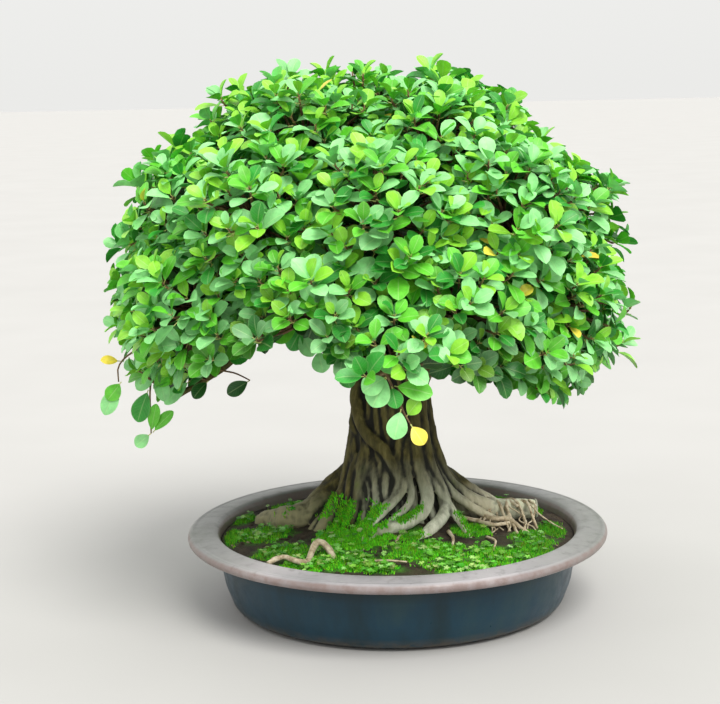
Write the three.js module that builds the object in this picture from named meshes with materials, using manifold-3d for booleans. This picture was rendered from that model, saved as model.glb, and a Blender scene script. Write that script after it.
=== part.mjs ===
// Chinese banyan bonsai, planted in a wide shallow round pot.
// Millimetres, +Z up. The origin is the centre of the pot's flat underside, and the tree's front faces -Y.
import * as THREE from "three";
import { mergeVertices } from "three/addons/utils/BufferGeometryUtils.js";
import Module from "manifold-3d";

const wasm = await Module();
wasm.setup();

// Clearance between pieces that touch.
const GAP = 0.3;

// Pot: outside radii, heights and wall.
const RIM_RADIUS = 240;
const RIM_TOP = 90.5;
const RIM_UNDERSIDE = 77;
const MOUTH_RADIUS = 204;
const BODY_TOP_RADIUS = 207.5;
const BODY_LOW_RADIUS = 199;
const BODY_LOW_HEIGHT = 30;
const FOOT_RADIUS = 176;
const FLOOR_THICKNESS = 8;
const WALL_THICKNESS = 6;
const POT_SIDES = 36;
const DRAIN_COUNT = 3;
const DRAIN_RADIUS = 8;
const DRAIN_CIRCLE = 90;

// Soil: a low dome from the pot's wall up to its middle.
const SOIL_EDGE_HEIGHT = 78;
const SOIL_EDGE_RADIUS = 201.8;
const SOIL_DOME = 12;

// Trunk: its axis, and its radius by height from the root ball up to the fork.
const TRUNK_X = -4;
const TRUNK_Y = 30;
const TRUNK_RADII = [
  [50, 56],
  [84, 80],
  [116, 70],
  [155, 60],
  [198, 50],
  [258, 42],
];
const TRUNK_STRANDS = 12;
const TRUNK_GROOVE = 0.16;
const TRUNK_TWIST = 0.5;

// Crown: the middle of its dome, and how much shallower it is front to back than side to side.
const CROWN_X = -27;
const CROWN_Y = 15;
const CROWN_DEPTH = 0.93;

// Foliage: the leaves of the tree's rosettes and of the low plants on the soil.
const LEAVES_PER_ROSETTE = 5;
const TREE_LEAF = { length: 63, width: 46, thickness: 1, arch: 6, middle: 7 };
const COVER_LEAF = { length: 17, width: 15, thickness: 1.2, arch: 1.5, middle: 3 };
const STEM_RADIUS = 3.5;
const STEM_LENGTH = 9;

// Rings of sprays on the crown: height and radius of the hearts' circle, tilt of their axes above level,
// in degrees, how many there are, the direction of the first, the hearts' radius, and the rosettes on each.
const SPRAY_RINGS = [
  { name: "spray_top", height: 520, radius: 0, tilt: 90, count: 1, turn: 0, heart: 52, rosettes: 4 },
  { name: "spray_high", height: 511, radius: 114, tilt: 58, count: 5, turn: 20, heart: 51, rosettes: 3 },
  { name: "spray_upper", height: 446, radius: 194, tilt: 32, count: 9, turn: 36, heart: 51, rosettes: 3 },
  { name: "spray_middle", height: 354, radius: 214, tilt: 6, count: 9, turn: 16, heart: 51, rosettes: 3 },
  { name: "spray_skirt", height: 0, radius: 226, tilt: -18, count: 9, turn: 36, heart: 28, rosettes: 2 },
];

// Skirt sprays grow only where the crown's underside is this low, with their hearts this far above it.
const SKIRT_LIMIT = 272;
const SKIRT_RISE = 48;

// How far leaves may hang below the crown's underside.
const LEAF_DROOP = 12;

// The spray that hangs below the crown in front of the trunk, on a twig that leaves the front limb low down.
const HANGING_SPRAY = {
  heart: [2, -226, 312],
  radius: 30,
  axis: [0.1, -0.85, -0.5],
  rosettes: 3,
  from: [-22, -24, 312],
};

// Height of the crown's underside by direction, counterclockwise from +X: low at both sides, high in front.
const UNDERSIDE = [
  [-180, 215],
  [-165, 205],
  [-145, 245],
  [-120, 300],
  [-90, 305],
  [-60, 288],
  [-30, 232],
  [0, 222],
  [45, 238],
  [70, 275],
  [90, 280],
  [135, 285],
  [165, 240],
  [180, 215],
];

// Mats of moss and low clover on the soil: the middle of each, its radius, and how many leaf rosettes stand
// on it.
const GROUND_COVER = [
  { name: "ground_cover_left", at: [-148, -30], radius: 36, rosettes: 1 },
  { name: "ground_cover_front_left", at: [-24, -114], radius: 47, rosettes: 2 },
  { name: "ground_cover_front_right", at: [70, -116], radius: 47, rosettes: 2 },
  { name: "ground_cover_right", at: [136, -62], radius: 35, rosettes: 1 },
  { name: "ground_cover_back_right", at: [118, 122], radius: 30, rosettes: 1 },
  { name: "ground_cover_back_left", at: [-122, 104], radius: 32, rosettes: 1 },
];
const MAT_POINTS = 11;
const MAT_HEIGHT = 5;

// Random numbers from 0 to 1 that are the same on every run.
function randomSource(seed) {
  let state = seed >>> 0;
  return () => {
    state = (Math.imul(state, 1664525) + 1013904223) >>> 0;
    return state / 4294967296;
  };
}

// Straight-line interpolation in a list of [input, output] pairs.
function interpolate(pairs, input) {
  for (let i = 1; i < pairs.length; i++) {
    const [from, fromValue] = pairs[i - 1];
    const [to, toValue] = pairs[i];
    if (input <= to) {
      const share = Math.max(0, (input - from) / (to - from));
      return THREE.MathUtils.lerp(fromValue, toValue, share);
    }
  }
  return pairs[pairs.length - 1][1];
}

// A closed geometry as a solid that can be joined and cut.
function solidOf(geometry) {
  const loose = geometry.index ? geometry.toNonIndexed() : geometry;
  const bare = new THREE.BufferGeometry();
  bare.setAttribute("position", loose.getAttribute("position"));
  const merged = mergeVertices(bare, 1e-4);
  const corners = merged.index.array;
  const triVerts = [];
  for (let i = 0; i < corners.length; i += 3) {
    const [a, b, c] = corners.slice(i, i + 3);
    if (a !== b && b !== c && c !== a) triVerts.push(a, b, c);
  }
  return new wasm.Manifold(
    new wasm.Mesh({
      numProp: 3,
      vertProperties: merged.getAttribute("position").array,
      triVerts: new Uint32Array(triVerts),
    }),
  );
}

function geometryOf(solid) {
  const mesh = solid.getMesh();
  const geometry = new THREE.BufferGeometry();
  geometry.setAttribute("position", new THREE.BufferAttribute(mesh.vertProperties, mesh.numProp));
  geometry.setIndex(new THREE.BufferAttribute(mesh.triVerts, 1));
  geometry.computeVertexNormals();
  return geometry;
}

// A closed cylinder whose points are put elsewhere by place(angle, along, across).
function bentCylinder(sides, steps, place) {
  const geometry = new THREE.CylinderGeometry(1, 1, 1, sides, steps);
  const position = geometry.getAttribute("position");
  for (let i = 0; i < position.count; i++) {
    const angle = Math.atan2(position.getZ(i), position.getX(i));
    const across = Math.hypot(position.getX(i), position.getZ(i));
    const point = place(angle, position.getY(i) + 0.5, across);
    position.setXYZ(i, point.x, point.y, point.z);
  }
  return geometry;
}

// A closed tube along a curve, with a radius that changes from one end to the other.
function taperedTube(curve, startRadius, endRadius, sides, steps) {
  const frames = curve.computeFrenetFrames(steps);
  return bentCylinder(sides, steps, (angle, along, across) => {
    const i = Math.round(along * steps);
    const side = frames.normals[i];
    const other = new THREE.Vector3().crossVectors(side, frames.tangents[i]);
    const radius = across * THREE.MathUtils.lerp(startRadius, endRadius, along);
    return curve
      .getPointAt(i / steps)
      .addScaledVector(side, radius * Math.cos(angle))
      .addScaledVector(other, radius * Math.sin(angle));
  });
}

// A profile of [radius, height] points turned round the Z axis.
function turned(profile, sides) {
  const points = profile.map(([radius, height]) => new THREE.Vector2(radius, height));
  return new THREE.LatheGeometry(points, sides).rotateX(Math.PI / 2);
}

function soilHeight(x, y) {
  return SOIL_EDGE_HEIGHT + SOIL_DOME * (1 - (x * x + y * y) / SOIL_EDGE_RADIUS ** 2);
}

// Pot

function makePot() {
  const profile = [
    [0, 0],
    [FOOT_RADIUS, 0],
    [191, 7],
    [BODY_LOW_RADIUS, BODY_LOW_HEIGHT],
    [BODY_TOP_RADIUS, RIM_UNDERSIDE],
    [RIM_RADIUS - 2, RIM_UNDERSIDE + 1.5],
    [RIM_RADIUS, RIM_UNDERSIDE + 7.5],
    [RIM_RADIUS - 5, RIM_TOP - 1.5],
    [MOUTH_RADIUS + 6, RIM_TOP],
    [MOUTH_RADIUS, RIM_TOP - 4],
    [BODY_LOW_RADIUS - WALL_THICKNESS, BODY_LOW_HEIGHT - 4],
    [BODY_LOW_RADIUS - 3 * WALL_THICKNESS, FLOOR_THICKNESS + 2],
    [BODY_LOW_RADIUS - 5 * WALL_THICKNESS, FLOOR_THICKNESS],
    [0, FLOOR_THICKNESS],
  ];
  let pot = solidOf(turned(profile, POT_SIDES));
  for (let i = 0; i < DRAIN_COUNT; i++) {
    const angle = ((i + 0.5) / DRAIN_COUNT) * 2 * Math.PI;
    const drain = new THREE.CylinderGeometry(DRAIN_RADIUS, DRAIN_RADIUS, 3 * FLOOR_THICKNESS, 10)
      .rotateX(Math.PI / 2)
      .translate(DRAIN_CIRCLE * Math.cos(angle), DRAIN_CIRCLE * Math.sin(angle), 0);
    pot = pot.subtract(solidOf(drain));
  }
  return pot;
}

// Soil, before the roots' holes are cut in it. Its corners stand on every second corner of the pot.

function makeSoilBlock() {
  const inset = 2 * GAP;
  const profile = [
    [0, FLOOR_THICKNESS + inset],
    [BODY_LOW_RADIUS - 5 * WALL_THICKNESS - inset, FLOOR_THICKNESS + inset],
    [BODY_LOW_RADIUS - 3 * WALL_THICKNESS - inset, FLOOR_THICKNESS + 2 + inset],
    [BODY_LOW_RADIUS - WALL_THICKNESS - inset, BODY_LOW_HEIGHT - 4],
    [SOIL_EDGE_RADIUS, SOIL_EDGE_HEIGHT],
  ];
  for (const radius of [140, 70, 0]) {
    profile.push([radius, soilHeight(radius, 0)]);
  }
  return solidOf(turned(profile, POT_SIDES / 2));
}

// Wood: the trunk, roots, limbs and twigs, which grew as one piece

// Surface roots: points along each one, and its radius at the trunk and at its end.
const ROOTS = [
  { path: [[-45, 45, 130], [-85, 38, 108], [-122, 18, 93], [-158, 50, 76]], from: 25, to: 9 },
  { path: [[-20, 0, 150], [-32, -30, 114], [-42, -50, 92], [-50, -62, 78]], from: 14, to: 6 },
  { path: [[5, 0, 160], [24, -34, 122], [10, -50, 100], [-20, -54, 90], [-38, -64, 78]], from: 14, to: 7 },
  { path: [[32, 0, 150], [52, -22, 114], [42, -42, 95], [22, -58, 78]], from: 14, to: 8 },
  { path: [[40, 10, 142], [62, -15, 110], [78, -38, 94], [88, -60, 77]], from: 13, to: 6 },
  { path: [[40, 32, 142], [80, 40, 114], [112, 62, 94], [138, 78, 76]], from: 19, to: 8 },
  { path: [[-15, 75, 132], [-38, 108, 104], [-62, 146, 76]], from: 20, to: 8 },
  { path: [[28, 70, 132], [52, 102, 104], [66, 136, 76]], from: 19, to: 8 },
  { path: [[-45, 12, 140], [-74, -12, 106], [-98, -36, 76]], from: 18, to: 7 },
];

// The thick root at the right that was cut off, and the thin one that loops out of the soil at the left.
const CUT_ROOT = { path: [[60, 18, 112], [108, 28, 96], [163, 34, 95]], from: 15, to: 11 };
const LOOP_ROOT = {
  path: [
    [-50, -20, 92],
    [-64, -70, 80],
    [-74, -92, 90],
    [-87, -92, 97],
    [-95, -108, 91],
    [-98, -122, 86],
    [-114, -120, 87],
    [-134, -138, 74],
  ],
  from: 5,
  to: 3,
};

// Limbs: points along each one, from the fork to its end inside the crown.
const LIMBS = [
  { path: [[-4, 30, 225], [-12, 26, 330], [-34, 16, 470]], from: 32, to: 10 },
  { path: [[-12, 30, 232], [-62, 20, 300], [-160, 8, 345]], from: 24, to: 9 },
  { path: [[6, 30, 232], [52, 20, 300], [118, 10, 352]], from: 24, to: 9 },
  { path: [[-4, 22, 232], [-22, -24, 312], [-36, -112, 376]], from: 22, to: 9 },
  { path: [[-4, 40, 232], [-16, 80, 312], [-34, 136, 376]], from: 22, to: 9 },
];

function curveThrough(path) {
  return new THREE.CatmullRomCurve3(path.map((point) => new THREE.Vector3(...point)));
}

// The trunk's fused strands show as ridges that wind slowly round it. extra makes it that much thicker.
function trunkGeometry(extra) {
  const random = randomSource(11);
  const depths = Array.from({ length: TRUNK_STRANDS }, () => TRUNK_GROOVE * (0.6 + 0.8 * random()));
  const low = TRUNK_RADII[0][0];
  const high = TRUNK_RADII[TRUNK_RADII.length - 1][0];
  const steps = TRUNK_RADII.length - 1;
  return bentCylinder(2 * TRUNK_STRANDS, steps, (angle, along, across) => {
    const [height, radius] = TRUNK_RADII[Math.round(along * steps)];
    const corner = Math.round((angle / Math.PI) * TRUNK_STRANDS) + 2 * TRUNK_STRANDS;
    const inGroove = corner % 2 === 1;
    const depth = inGroove ? depths[((corner - 1) / 2) % TRUNK_STRANDS] : 0;
    const reach = across * (radius * (1 - depth) + extra);
    const turn = angle + TRUNK_TWIST * ((height - low) / (high - low));
    return new THREE.Vector3(
      TRUNK_X + reach * Math.cos(turn),
      TRUNK_Y - reach * Math.sin(turn),
      height - (along === 0 ? extra : 0),
    );
  });
}

function tubeOf({ path, from, to }, extra, sides, stepLength) {
  const curve = curveThrough(path);
  const steps = Math.max(3, Math.round(curve.getLength() / stepLength));
  return taperedTube(curve, from + extra, to + extra, sides, steps);
}

// The trunk with its roots, made extra thicker for the socket in the soil.
function makeRootedTrunk(extra) {
  let wood = solidOf(trunkGeometry(extra));
  for (const root of ROOTS) {
    wood = wood.add(solidOf(tubeOf(root, extra, 5, 30)));
  }
  wood = wood.add(solidOf(tubeOf(CUT_ROOT, extra, 8, 40)));
  return wood.add(solidOf(tubeOf(LOOP_ROOT, extra, 4, 24)));
}

// The place on the limbs that is nearest to a heart, never in their lower parts.
function nearestOnLimbs(target) {
  let best = null;
  for (const limb of LIMBS) {
    const curve = curveThrough(limb.path);
    for (const along of [0.5, 0.65, 0.8, 0.95]) {
      const point = curve.getPointAt(along);
      const far = point.distanceTo(target);
      if (!best || far < best.far) best = { point, far };
    }
  }
  return best.point;
}

// A twig runs from a limb to the flat back of a spray's heart and meets it square.
function makeTwig(spray) {
  const end = spray.back;
  const start = spray.from ?? nearestOnLimbs(end);
  const bend = end.clone().addScaledVector(spray.axis, -0.4 * end.distanceTo(start));
  const curve = new THREE.QuadraticBezierCurve3(start, bend, end);
  return solidOf(taperedTube(curve, 6, 4, 3, 2));
}

function makeWood(sprays) {
  let wood = makeRootedTrunk(0);
  for (const limb of LIMBS) {
    wood = wood.add(solidOf(tubeOf(limb, 0, 4, 70)));
  }
  for (const spray of sprays) {
    wood = wood.add(makeTwig(spray));
  }
  return wood;
}

// Foliage

function undersideHeight(x, y) {
  const direction = THREE.MathUtils.radToDeg(Math.atan2(y - CROWN_Y, x - CROWN_X));
  return interpolate(UNDERSIDE, direction);
}

// A spray's heart is a twenty-sided lump with one flat side turned back towards the limbs.
function heartGeometry(spray) {
  const heart = new THREE.IcosahedronGeometry(spray.radius, 0);
  const corners = heart.getAttribute("position");
  const side = new THREE.Vector3();
  for (let i = 0; i < 3; i++) {
    side.add(new THREE.Vector3().fromBufferAttribute(corners, i));
  }
  const toBack = new THREE.Quaternion().setFromUnitVectors(
    side.normalize(),
    spray.axis.clone().negate(),
  );
  return heart.applyQuaternion(toBack).translate(...spray.heart.toArray());
}

function makeSpray(name, heart, radius, axis, rosettes) {
  const insideRadius = 0.7947 * radius;
  const back = heart.clone().addScaledVector(axis, -(insideRadius + 1.5 * GAP));
  return { name, heart, radius, axis, back, rosettes, solids: [] };
}

// Places and directions of all the sprays, ring by ring, then the hanging one.
function placeSprays() {
  const random = randomSource(5);
  const sprays = [];
  for (const ring of SPRAY_RINGS) {
    for (let i = 0; i < ring.count; i++) {
      const direction = THREE.MathUtils.degToRad(ring.turn + (360 * i) / ring.count);
      const tilt = THREE.MathUtils.degToRad(ring.tilt);
      const radius = ring.radius + 12 * (random() - 0.5);
      const x = CROWN_X + radius * Math.cos(direction);
      const y = CROWN_Y + CROWN_DEPTH * radius * Math.sin(direction);
      const underside = undersideHeight(x, y);
      const inSkirt = ring.height === 0;
      const height = (inSkirt ? underside + SKIRT_RISE : ring.height) + 12 * (random() - 0.5);
      if (inSkirt && underside > SKIRT_LIMIT) continue;
      const axis = new THREE.Vector3(
        Math.cos(tilt) * Math.cos(direction),
        Math.cos(tilt) * Math.sin(direction),
        Math.sin(tilt),
      );
      const name = ring.count > 1 ? `${ring.name}_${i + 1}` : ring.name;
      sprays.push(makeSpray(name, new THREE.Vector3(x, y, height), ring.heart, axis, ring.rosettes));
    }
  }
  const { heart, radius, axis, rosettes, from } = HANGING_SPRAY;
  const direction = new THREE.Vector3(...axis).normalize();
  const hanging = makeSpray("spray_hanging", new THREE.Vector3(...heart), radius, direction, rosettes);
  sprays.push({ ...hanging, from: new THREE.Vector3(...from) });
  return sprays;
}

// Outline of half a leaf, as shares of its length and width, from its narrow base to its blunt tip.
const HALF_LEAF = [
  [0.56, 0.5],
  [0.96, 0.22],
];

// A rosette of leaves round the origin, facing +Z: one thin blade cut to leaf shapes, each leaf raised by its
// own angle.
function rosetteGeometry(kind, leaves, extra) {
  const step = (2 * Math.PI) / leaves.length;
  const outline = [];
  leaves.forEach((leaf, i) => {
    const middle = i * step;
    const cos = Math.cos(middle);
    const sin = Math.sin(middle);
    const gapAngle = middle - step / 2;
    outline.push(new THREE.Vector2(Math.cos(gapAngle), Math.sin(gapAngle)).multiplyScalar(kind.middle));
    for (const side of [-1, 1]) {
      const points = side < 0 ? HALF_LEAF : [...HALF_LEAF].reverse();
      for (const [along, across] of points) {
        const u = along * kind.length * leaf.size + extra;
        const v = side * (across * kind.width * leaf.size + extra);
        outline.push(new THREE.Vector2(u * cos - v * sin, u * sin + v * cos));
      }
    }
  });
  const thickness = kind.thickness + 2 * extra;
  const blade = new THREE.ExtrudeGeometry(new THREE.Shape(outline), {
    depth: thickness,
    bevelEnabled: false,
    steps: 1,
  });
  const position = blade.getAttribute("position");
  for (let i = 0; i < position.count; i++) {
    const x = position.getX(i);
    const y = position.getY(i);
    const offset = position.getZ(i) - thickness / 2;
    const radius = Math.hypot(x, y);
    const beyond = radius - kind.middle;
    if (beyond < 0.01) {
      position.setZ(i, offset);
      continue;
    }
    const { rise } = leaves[(Math.round(Math.atan2(y, x) / step) + leaves.length) % leaves.length];
    const out = kind.middle + beyond * Math.cos(rise) - offset * Math.sin(rise);
    const sag = kind.arch * (beyond / kind.length) ** 2;
    const up = beyond * Math.sin(rise) + offset * Math.cos(rise) - sag;
    position.setXYZ(i, (x * out) / radius, (y * out) / radius, up);
  }
  return blade;
}

// Turns +Z to a direction, with a spin about it first.
function turnTo(direction, spin) {
  const toDirection = new THREE.Quaternion().setFromUnitVectors(new THREE.Vector3(0, 0, 1), direction);
  const spun = new THREE.Quaternion().setFromAxisAngle(new THREE.Vector3(0, 0, 1), spin);
  return toDirection.multiply(spun);
}

// Where one of a spray's rosettes sits: its middle, and the way it faces.
function rosettePlace(spray, around, polar, stem) {
  const local = new THREE.Vector3(
    Math.sin(polar) * Math.cos(around),
    Math.sin(polar) * Math.sin(around),
    Math.cos(polar),
  );
  const outward = local.applyQuaternion(turnTo(spray.axis, 0));
  const middle = spray.heart.clone().addScaledVector(outward, spray.radius + stem);
  return { middle, outward };
}

function rosetteSolid(leaves, place, spin, extra) {
  const geometry = rosetteGeometry(TREE_LEAF, leaves, extra);
  geometry.applyQuaternion(turnTo(place.outward, spin)).translate(...place.middle.toArray());
  return solidOf(geometry);
}

// The stem of a rosette, from inside the heart to the middle of the blade's thickness.
function stemSolid(spray, place, extra) {
  const from = spray.heart.clone().addScaledVector(place.outward, 0.5 * spray.radius);
  const radius = STEM_RADIUS + extra;
  return solidOf(taperedTube(new THREE.LineCurve3(from, place.middle), radius, radius, 3, 1));
}

function boxesMeet(a, b) {
  return [0, 1, 2].every((i) => a.min[i] < b.max[i] && b.min[i] < a.max[i]);
}

function isClear(solid, others) {
  const box = solid.boundingBox();
  return others.every((other) => !boxesMeet(box, other.box) || solid.intersect(other.solid).isEmpty());
}

// The tries at placing a rosette: each is turned, drawn in or made smaller than the one before until it is
// clear.
function* rosetteTries(polar) {
  for (const size of [1, 0.9, 0.78, 0.65]) {
    for (const lift of [0, 0.15, 0.3]) {
      for (const spin of [0, 0.42, 0.84]) {
        for (const stem of [STEM_LENGTH, STEM_LENGTH + 9, STEM_LENGTH - 6]) {
          yield { size, polar: polar - lift, spin, stem };
        }
      }
    }
  }
}

// Gives every spray its rosettes in turn. One that would cross something is moved until it is clear, or left
// out.
function growRosettes(sprays, wood) {
  const random = randomSource(30);
  const hanging = sprays[sprays.length - 1];
  const taken = [{ solid: wood, box: wood.boundingBox() }];
  for (const spray of sprays) {
    const solid = solidOf(heartGeometry(spray));
    const item = { solid, box: solid.boundingBox(), spray };
    spray.solids.push(item);
    taken.push(item);
  }
  for (const spray of sprays) {
    const sideways = Math.atan2(spray.axis.y, spray.axis.x) + Math.PI / 2;
    const phase = spray.rosettes === 2 ? sideways : random() * 2 * Math.PI;
    for (let i = 0; i < spray.rosettes; i++) {
      const around = phase + (2 * Math.PI * i) / spray.rosettes;
      const leaves = Array.from({ length: LEAVES_PER_ROSETTE }, () => ({
        size: 0.86 + 0.22 * random(),
        rise: 0.3 + 0.3 * random(),
      }));
      const spin = 2 * Math.PI * random();
      const polar = spray.rosettes > 1 ? 0.8 : 0.2;
      const others = taken.filter((item) => item.spray !== spray || item !== spray.solids[0]);
      for (const attempt of rosetteTries(polar)) {
        const place = rosettePlace(spray, around, attempt.polar, attempt.stem);
        const sized = leaves.map(({ size, rise }) => ({ size: size * attempt.size, rise }));
        const fat = rosetteSolid(sized, place, spin + attempt.spin, GAP + 0.1);
        const box = fat.boundingBox();
        const lowest = spray === hanging ? 0 : undersideHeight(place.middle.x, place.middle.y) - LEAF_DROOP;
        if (box.min[2] < lowest) continue;
        if (!isClear(fat, others) || !isClear(stemSolid(spray, place, 2 * GAP), others)) continue;
        const blade = rosetteSolid(sized, place, spin + attempt.spin, 0);
        const item = { solid: blade.add(stemSolid(spray, place, 0)), box, spray };
        spray.solids.push(item);
        taken.push(item);
        break;
      }
    }
  }
}

// Ground cover

// The outline of a mat, with uneven lobes, as a block that stands through the soil's surface.
function matBlock(radius, random) {
  const outline = Array.from({ length: MAT_POINTS }, (_, i) => {
    const angle = (2 * Math.PI * i) / MAT_POINTS;
    const reach = radius * (0.72 + 0.28 * random());
    return new THREE.Vector2(reach * Math.cos(angle), reach * Math.sin(angle));
  });
  const extrusion = { depth: 80, bevelEnabled: false, steps: 1 };
  const block = new THREE.ExtrudeGeometry(new THREE.Shape(outline), extrusion);
  return solidOf(block.translate(0, 0, 50));
}

// A mat lies on the soil with its leaf rosettes rooted in it, and stays clear of the wood.
function makeGroundCover({ at, radius, rosettes }, seed, soilBlock, fatWood) {
  const random = randomSource(seed);
  const [x, y] = at;
  let mat = matBlock(radius, random).translate(x, y, 0);
  mat = mat.intersect(soilBlock.translate(0, 0, GAP + MAT_HEIGHT)).subtract(soilBlock.translate(0, 0, GAP));
  for (let i = 0; i < rosettes; i++) {
    const angle = 2 * Math.PI * (random() + i) / rosettes;
    const reach = rosettes > 1 ? 0.45 * radius : 0;
    const place = [x + reach * Math.cos(angle), y + reach * Math.sin(angle)];
    const leaves = [];
    for (let leaf = 0; leaf < 3; leaf++) {
      leaves.push({ size: 0.85 + 0.3 * random(), rise: 0.3 + 0.3 * random() });
    }
    const rosette = rosetteGeometry(COVER_LEAF, leaves, 0).rotateZ(random() * Math.PI);
    mat = mat.add(solidOf(rosette.translate(...place, soilHeight(...place) + MAT_HEIGHT - 0.7)));
  }
  return mat.subtract(fatWood);
}

// The whole plant and its pot

function colour(hex, roughness) {
  return new THREE.MeshStandardMaterial({ color: hex, roughness, metalness: 0 });
}

const bonsai = new THREE.Group();

function addPiece(name, solid, material) {
  const mesh = new THREE.Mesh(geometryOf(solid), material);
  mesh.name = name;
  bonsai.add(mesh);
}

const sprays = placeSprays();
const wood = makeWood(sprays);
growRosettes(sprays, wood);

const soilBlock = makeSoilBlock();
const fatWood = makeRootedTrunk(GAP + 0.1);

addPiece("pot", makePot(), colour(0x3d5a60, 0.45));
addPiece("soil", soilBlock.subtract(fatWood), colour(0x3a2a1c, 0.95));
addPiece("trunk_and_roots", wood, colour(0x6d6550, 0.85));
for (const spray of sprays) {
  const whole = spray.solids.slice(1).reduce((sum, item) => sum.add(item.solid), spray.solids[0].solid);
  addPiece(spray.name, whole, colour(0x4aa84a, 0.5));
}
GROUND_COVER.forEach((cover, i) => {
  addPiece(cover.name, makeGroundCover(cover, 40 + i, soilBlock, fatWood), colour(0x3f8a2c, 0.8));
});

export default bonsai;
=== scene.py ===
# Chinese banyan bonsai in a wide shallow pot: the looks of every visible surface.
# Sizes are in millimetres, with +Z up and the tree's front facing -Y, and become metres as meshes are made.
import math

import bpy
import numpy as np
from mathutils import Matrix, Vector, noise
from mathutils.bvhtree import BVHTree


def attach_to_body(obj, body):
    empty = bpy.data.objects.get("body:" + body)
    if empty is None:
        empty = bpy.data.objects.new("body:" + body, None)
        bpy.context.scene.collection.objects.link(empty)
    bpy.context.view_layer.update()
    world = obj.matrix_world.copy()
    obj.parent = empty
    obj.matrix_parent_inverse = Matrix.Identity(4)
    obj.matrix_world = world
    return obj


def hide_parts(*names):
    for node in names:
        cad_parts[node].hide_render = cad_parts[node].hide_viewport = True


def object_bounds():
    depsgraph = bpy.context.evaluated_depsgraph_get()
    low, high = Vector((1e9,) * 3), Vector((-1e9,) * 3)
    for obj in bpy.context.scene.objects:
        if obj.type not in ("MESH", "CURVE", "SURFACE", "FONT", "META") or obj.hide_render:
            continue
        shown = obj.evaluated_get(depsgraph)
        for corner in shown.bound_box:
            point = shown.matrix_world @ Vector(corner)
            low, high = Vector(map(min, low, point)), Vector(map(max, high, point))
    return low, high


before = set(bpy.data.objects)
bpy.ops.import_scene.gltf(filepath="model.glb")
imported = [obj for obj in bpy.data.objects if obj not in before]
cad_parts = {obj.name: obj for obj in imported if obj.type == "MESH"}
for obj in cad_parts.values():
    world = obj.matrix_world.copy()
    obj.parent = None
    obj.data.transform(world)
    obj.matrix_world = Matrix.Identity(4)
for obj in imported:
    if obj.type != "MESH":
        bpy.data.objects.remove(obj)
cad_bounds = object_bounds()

MM = 0.001

# Pot
RIM_RADIUS = 240
RIM_TOP = 90.5
RIM_UNDERSIDE = 77
MOUTH_RADIUS = 204
BODY_TOP_RADIUS = 207.5
BODY_LOW_RADIUS = 199
BODY_LOW_HEIGHT = 30
FOOT_RADIUS = 176
FLOOR_THICKNESS = 8
WALL_THICKNESS = 6
POT_SIDES = 144
DRAIN_COUNT = 3
DRAIN_RADIUS = 8
DRAIN_CIRCLE = 90

# Soil: a low dome from the pot's wall up to its middle
SOIL_EDGE_HEIGHT = 78
SOIL_EDGE_RADIUS = 201.8
SOIL_DOME = 12
SOIL_RINGS = 80
SOIL_SIDES = 170
CRUMB_COUNT = 900

# Trunk: its axis, and how far from the axis its strands run and how thick they are, by height
TRUNK_X = -4
TRUNK_Y = 30
TRUNK_TOP = 262
TRUNK_FOOT = 64
STRAND_CIRCLE = [(64, 66), (84, 61), (116, 50), (155, 42), (198, 34), (262, 26)]
STRAND_RADIUS = [(64, 10), (84, 11), (116, 12), (155, 12), (198, 13), (262, 13)]
STRAND_COUNT = 13
FINE_STRAND_COUNT = 56
TRUNK_TWIST = 0.5
REMESH_SIZE = 1.8

# Crown: the middle of its dome and its height, and how much shallower it is front to back than side to side
CROWN_X = -27
CROWN_Y = 15
CROWN_MIDDLE = 290
CROWN_DEPTH = 0.93

# Leaves: the size of a blade, how far apart the rosettes are, how far they stand out of a spray's heart, and
# how far they keep from the crown's outline, its box and the hearts of other sprays
LEAF_LENGTH = 26
LEAF_WIDTH = 18
LEAF_THICKNESS = 0.5
ROSETTE_SPACING = 26.5
SHELL_REACH = 21
TIP_SPREAD = 26
OUTLINE_MARGIN = 7
BOX_MARGIN = 5
HEART_GAP = 9
INNER_LEAVES = 40
TWIG_RADII = [2.2, 1.6, 1.2, 0.8]
GOLDEN_ANGLE = math.radians(137.5)

# The crown's outline seen from the front, as (x, z) on the plane through the pot's middle
CROWN_OUTLINE = [
    (-347, 303), (-326, 354), (-317, 411), (-287, 467), (-268, 522), (-227, 554), (-193, 592),
    (-165, 602), (-98, 617), (-48, 613), (35, 622), (89, 599), (139, 580), (172, 530),
    (221, 497), (260, 480), (274, 411), (278, 355), (263, 298), (238, 262), (190, 219),
    (142, 235), (86, 249), (58, 258), (-51, 250), (-73, 268), (-129, 297), (-175, 288),
    (-199, 268), (-240, 255), (-268, 240), (-300, 262),
]

# Rings of sprays on the crown: name, height, radius, tilt above level in degrees, count, direction of the
# first, and the radius of each spray's twiggy heart
SPRAY_RINGS = [
    ("spray_top", 520, 0, 90, 1, 0, 52),
    ("spray_high", 511, 114, 58, 5, 20, 51),
    ("spray_upper", 446, 194, 32, 9, 36, 51),
    ("spray_middle", 354, 214, 6, 9, 16, 51),
    ("spray_skirt", 0, 226, -18, 9, 36, 28),
]
SKIRT_LIMIT = 272
SKIRT_RISE = 48
HANGING_HEART = (2, -226, 312)
HANGING_RADIUS = 30
HANGING_AXIS = (0.1, -0.85, -0.5)

# Height of the crown's underside by direction, counterclockwise from +X
UNDERSIDE = [
    (-180, 215), (-165, 205), (-145, 245), (-120, 300), (-90, 305), (-60, 288), (-30, 232),
    (0, 222), (45, 238), (70, 275), (90, 280), (135, 285), (165, 240), (180, 215),
]

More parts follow.
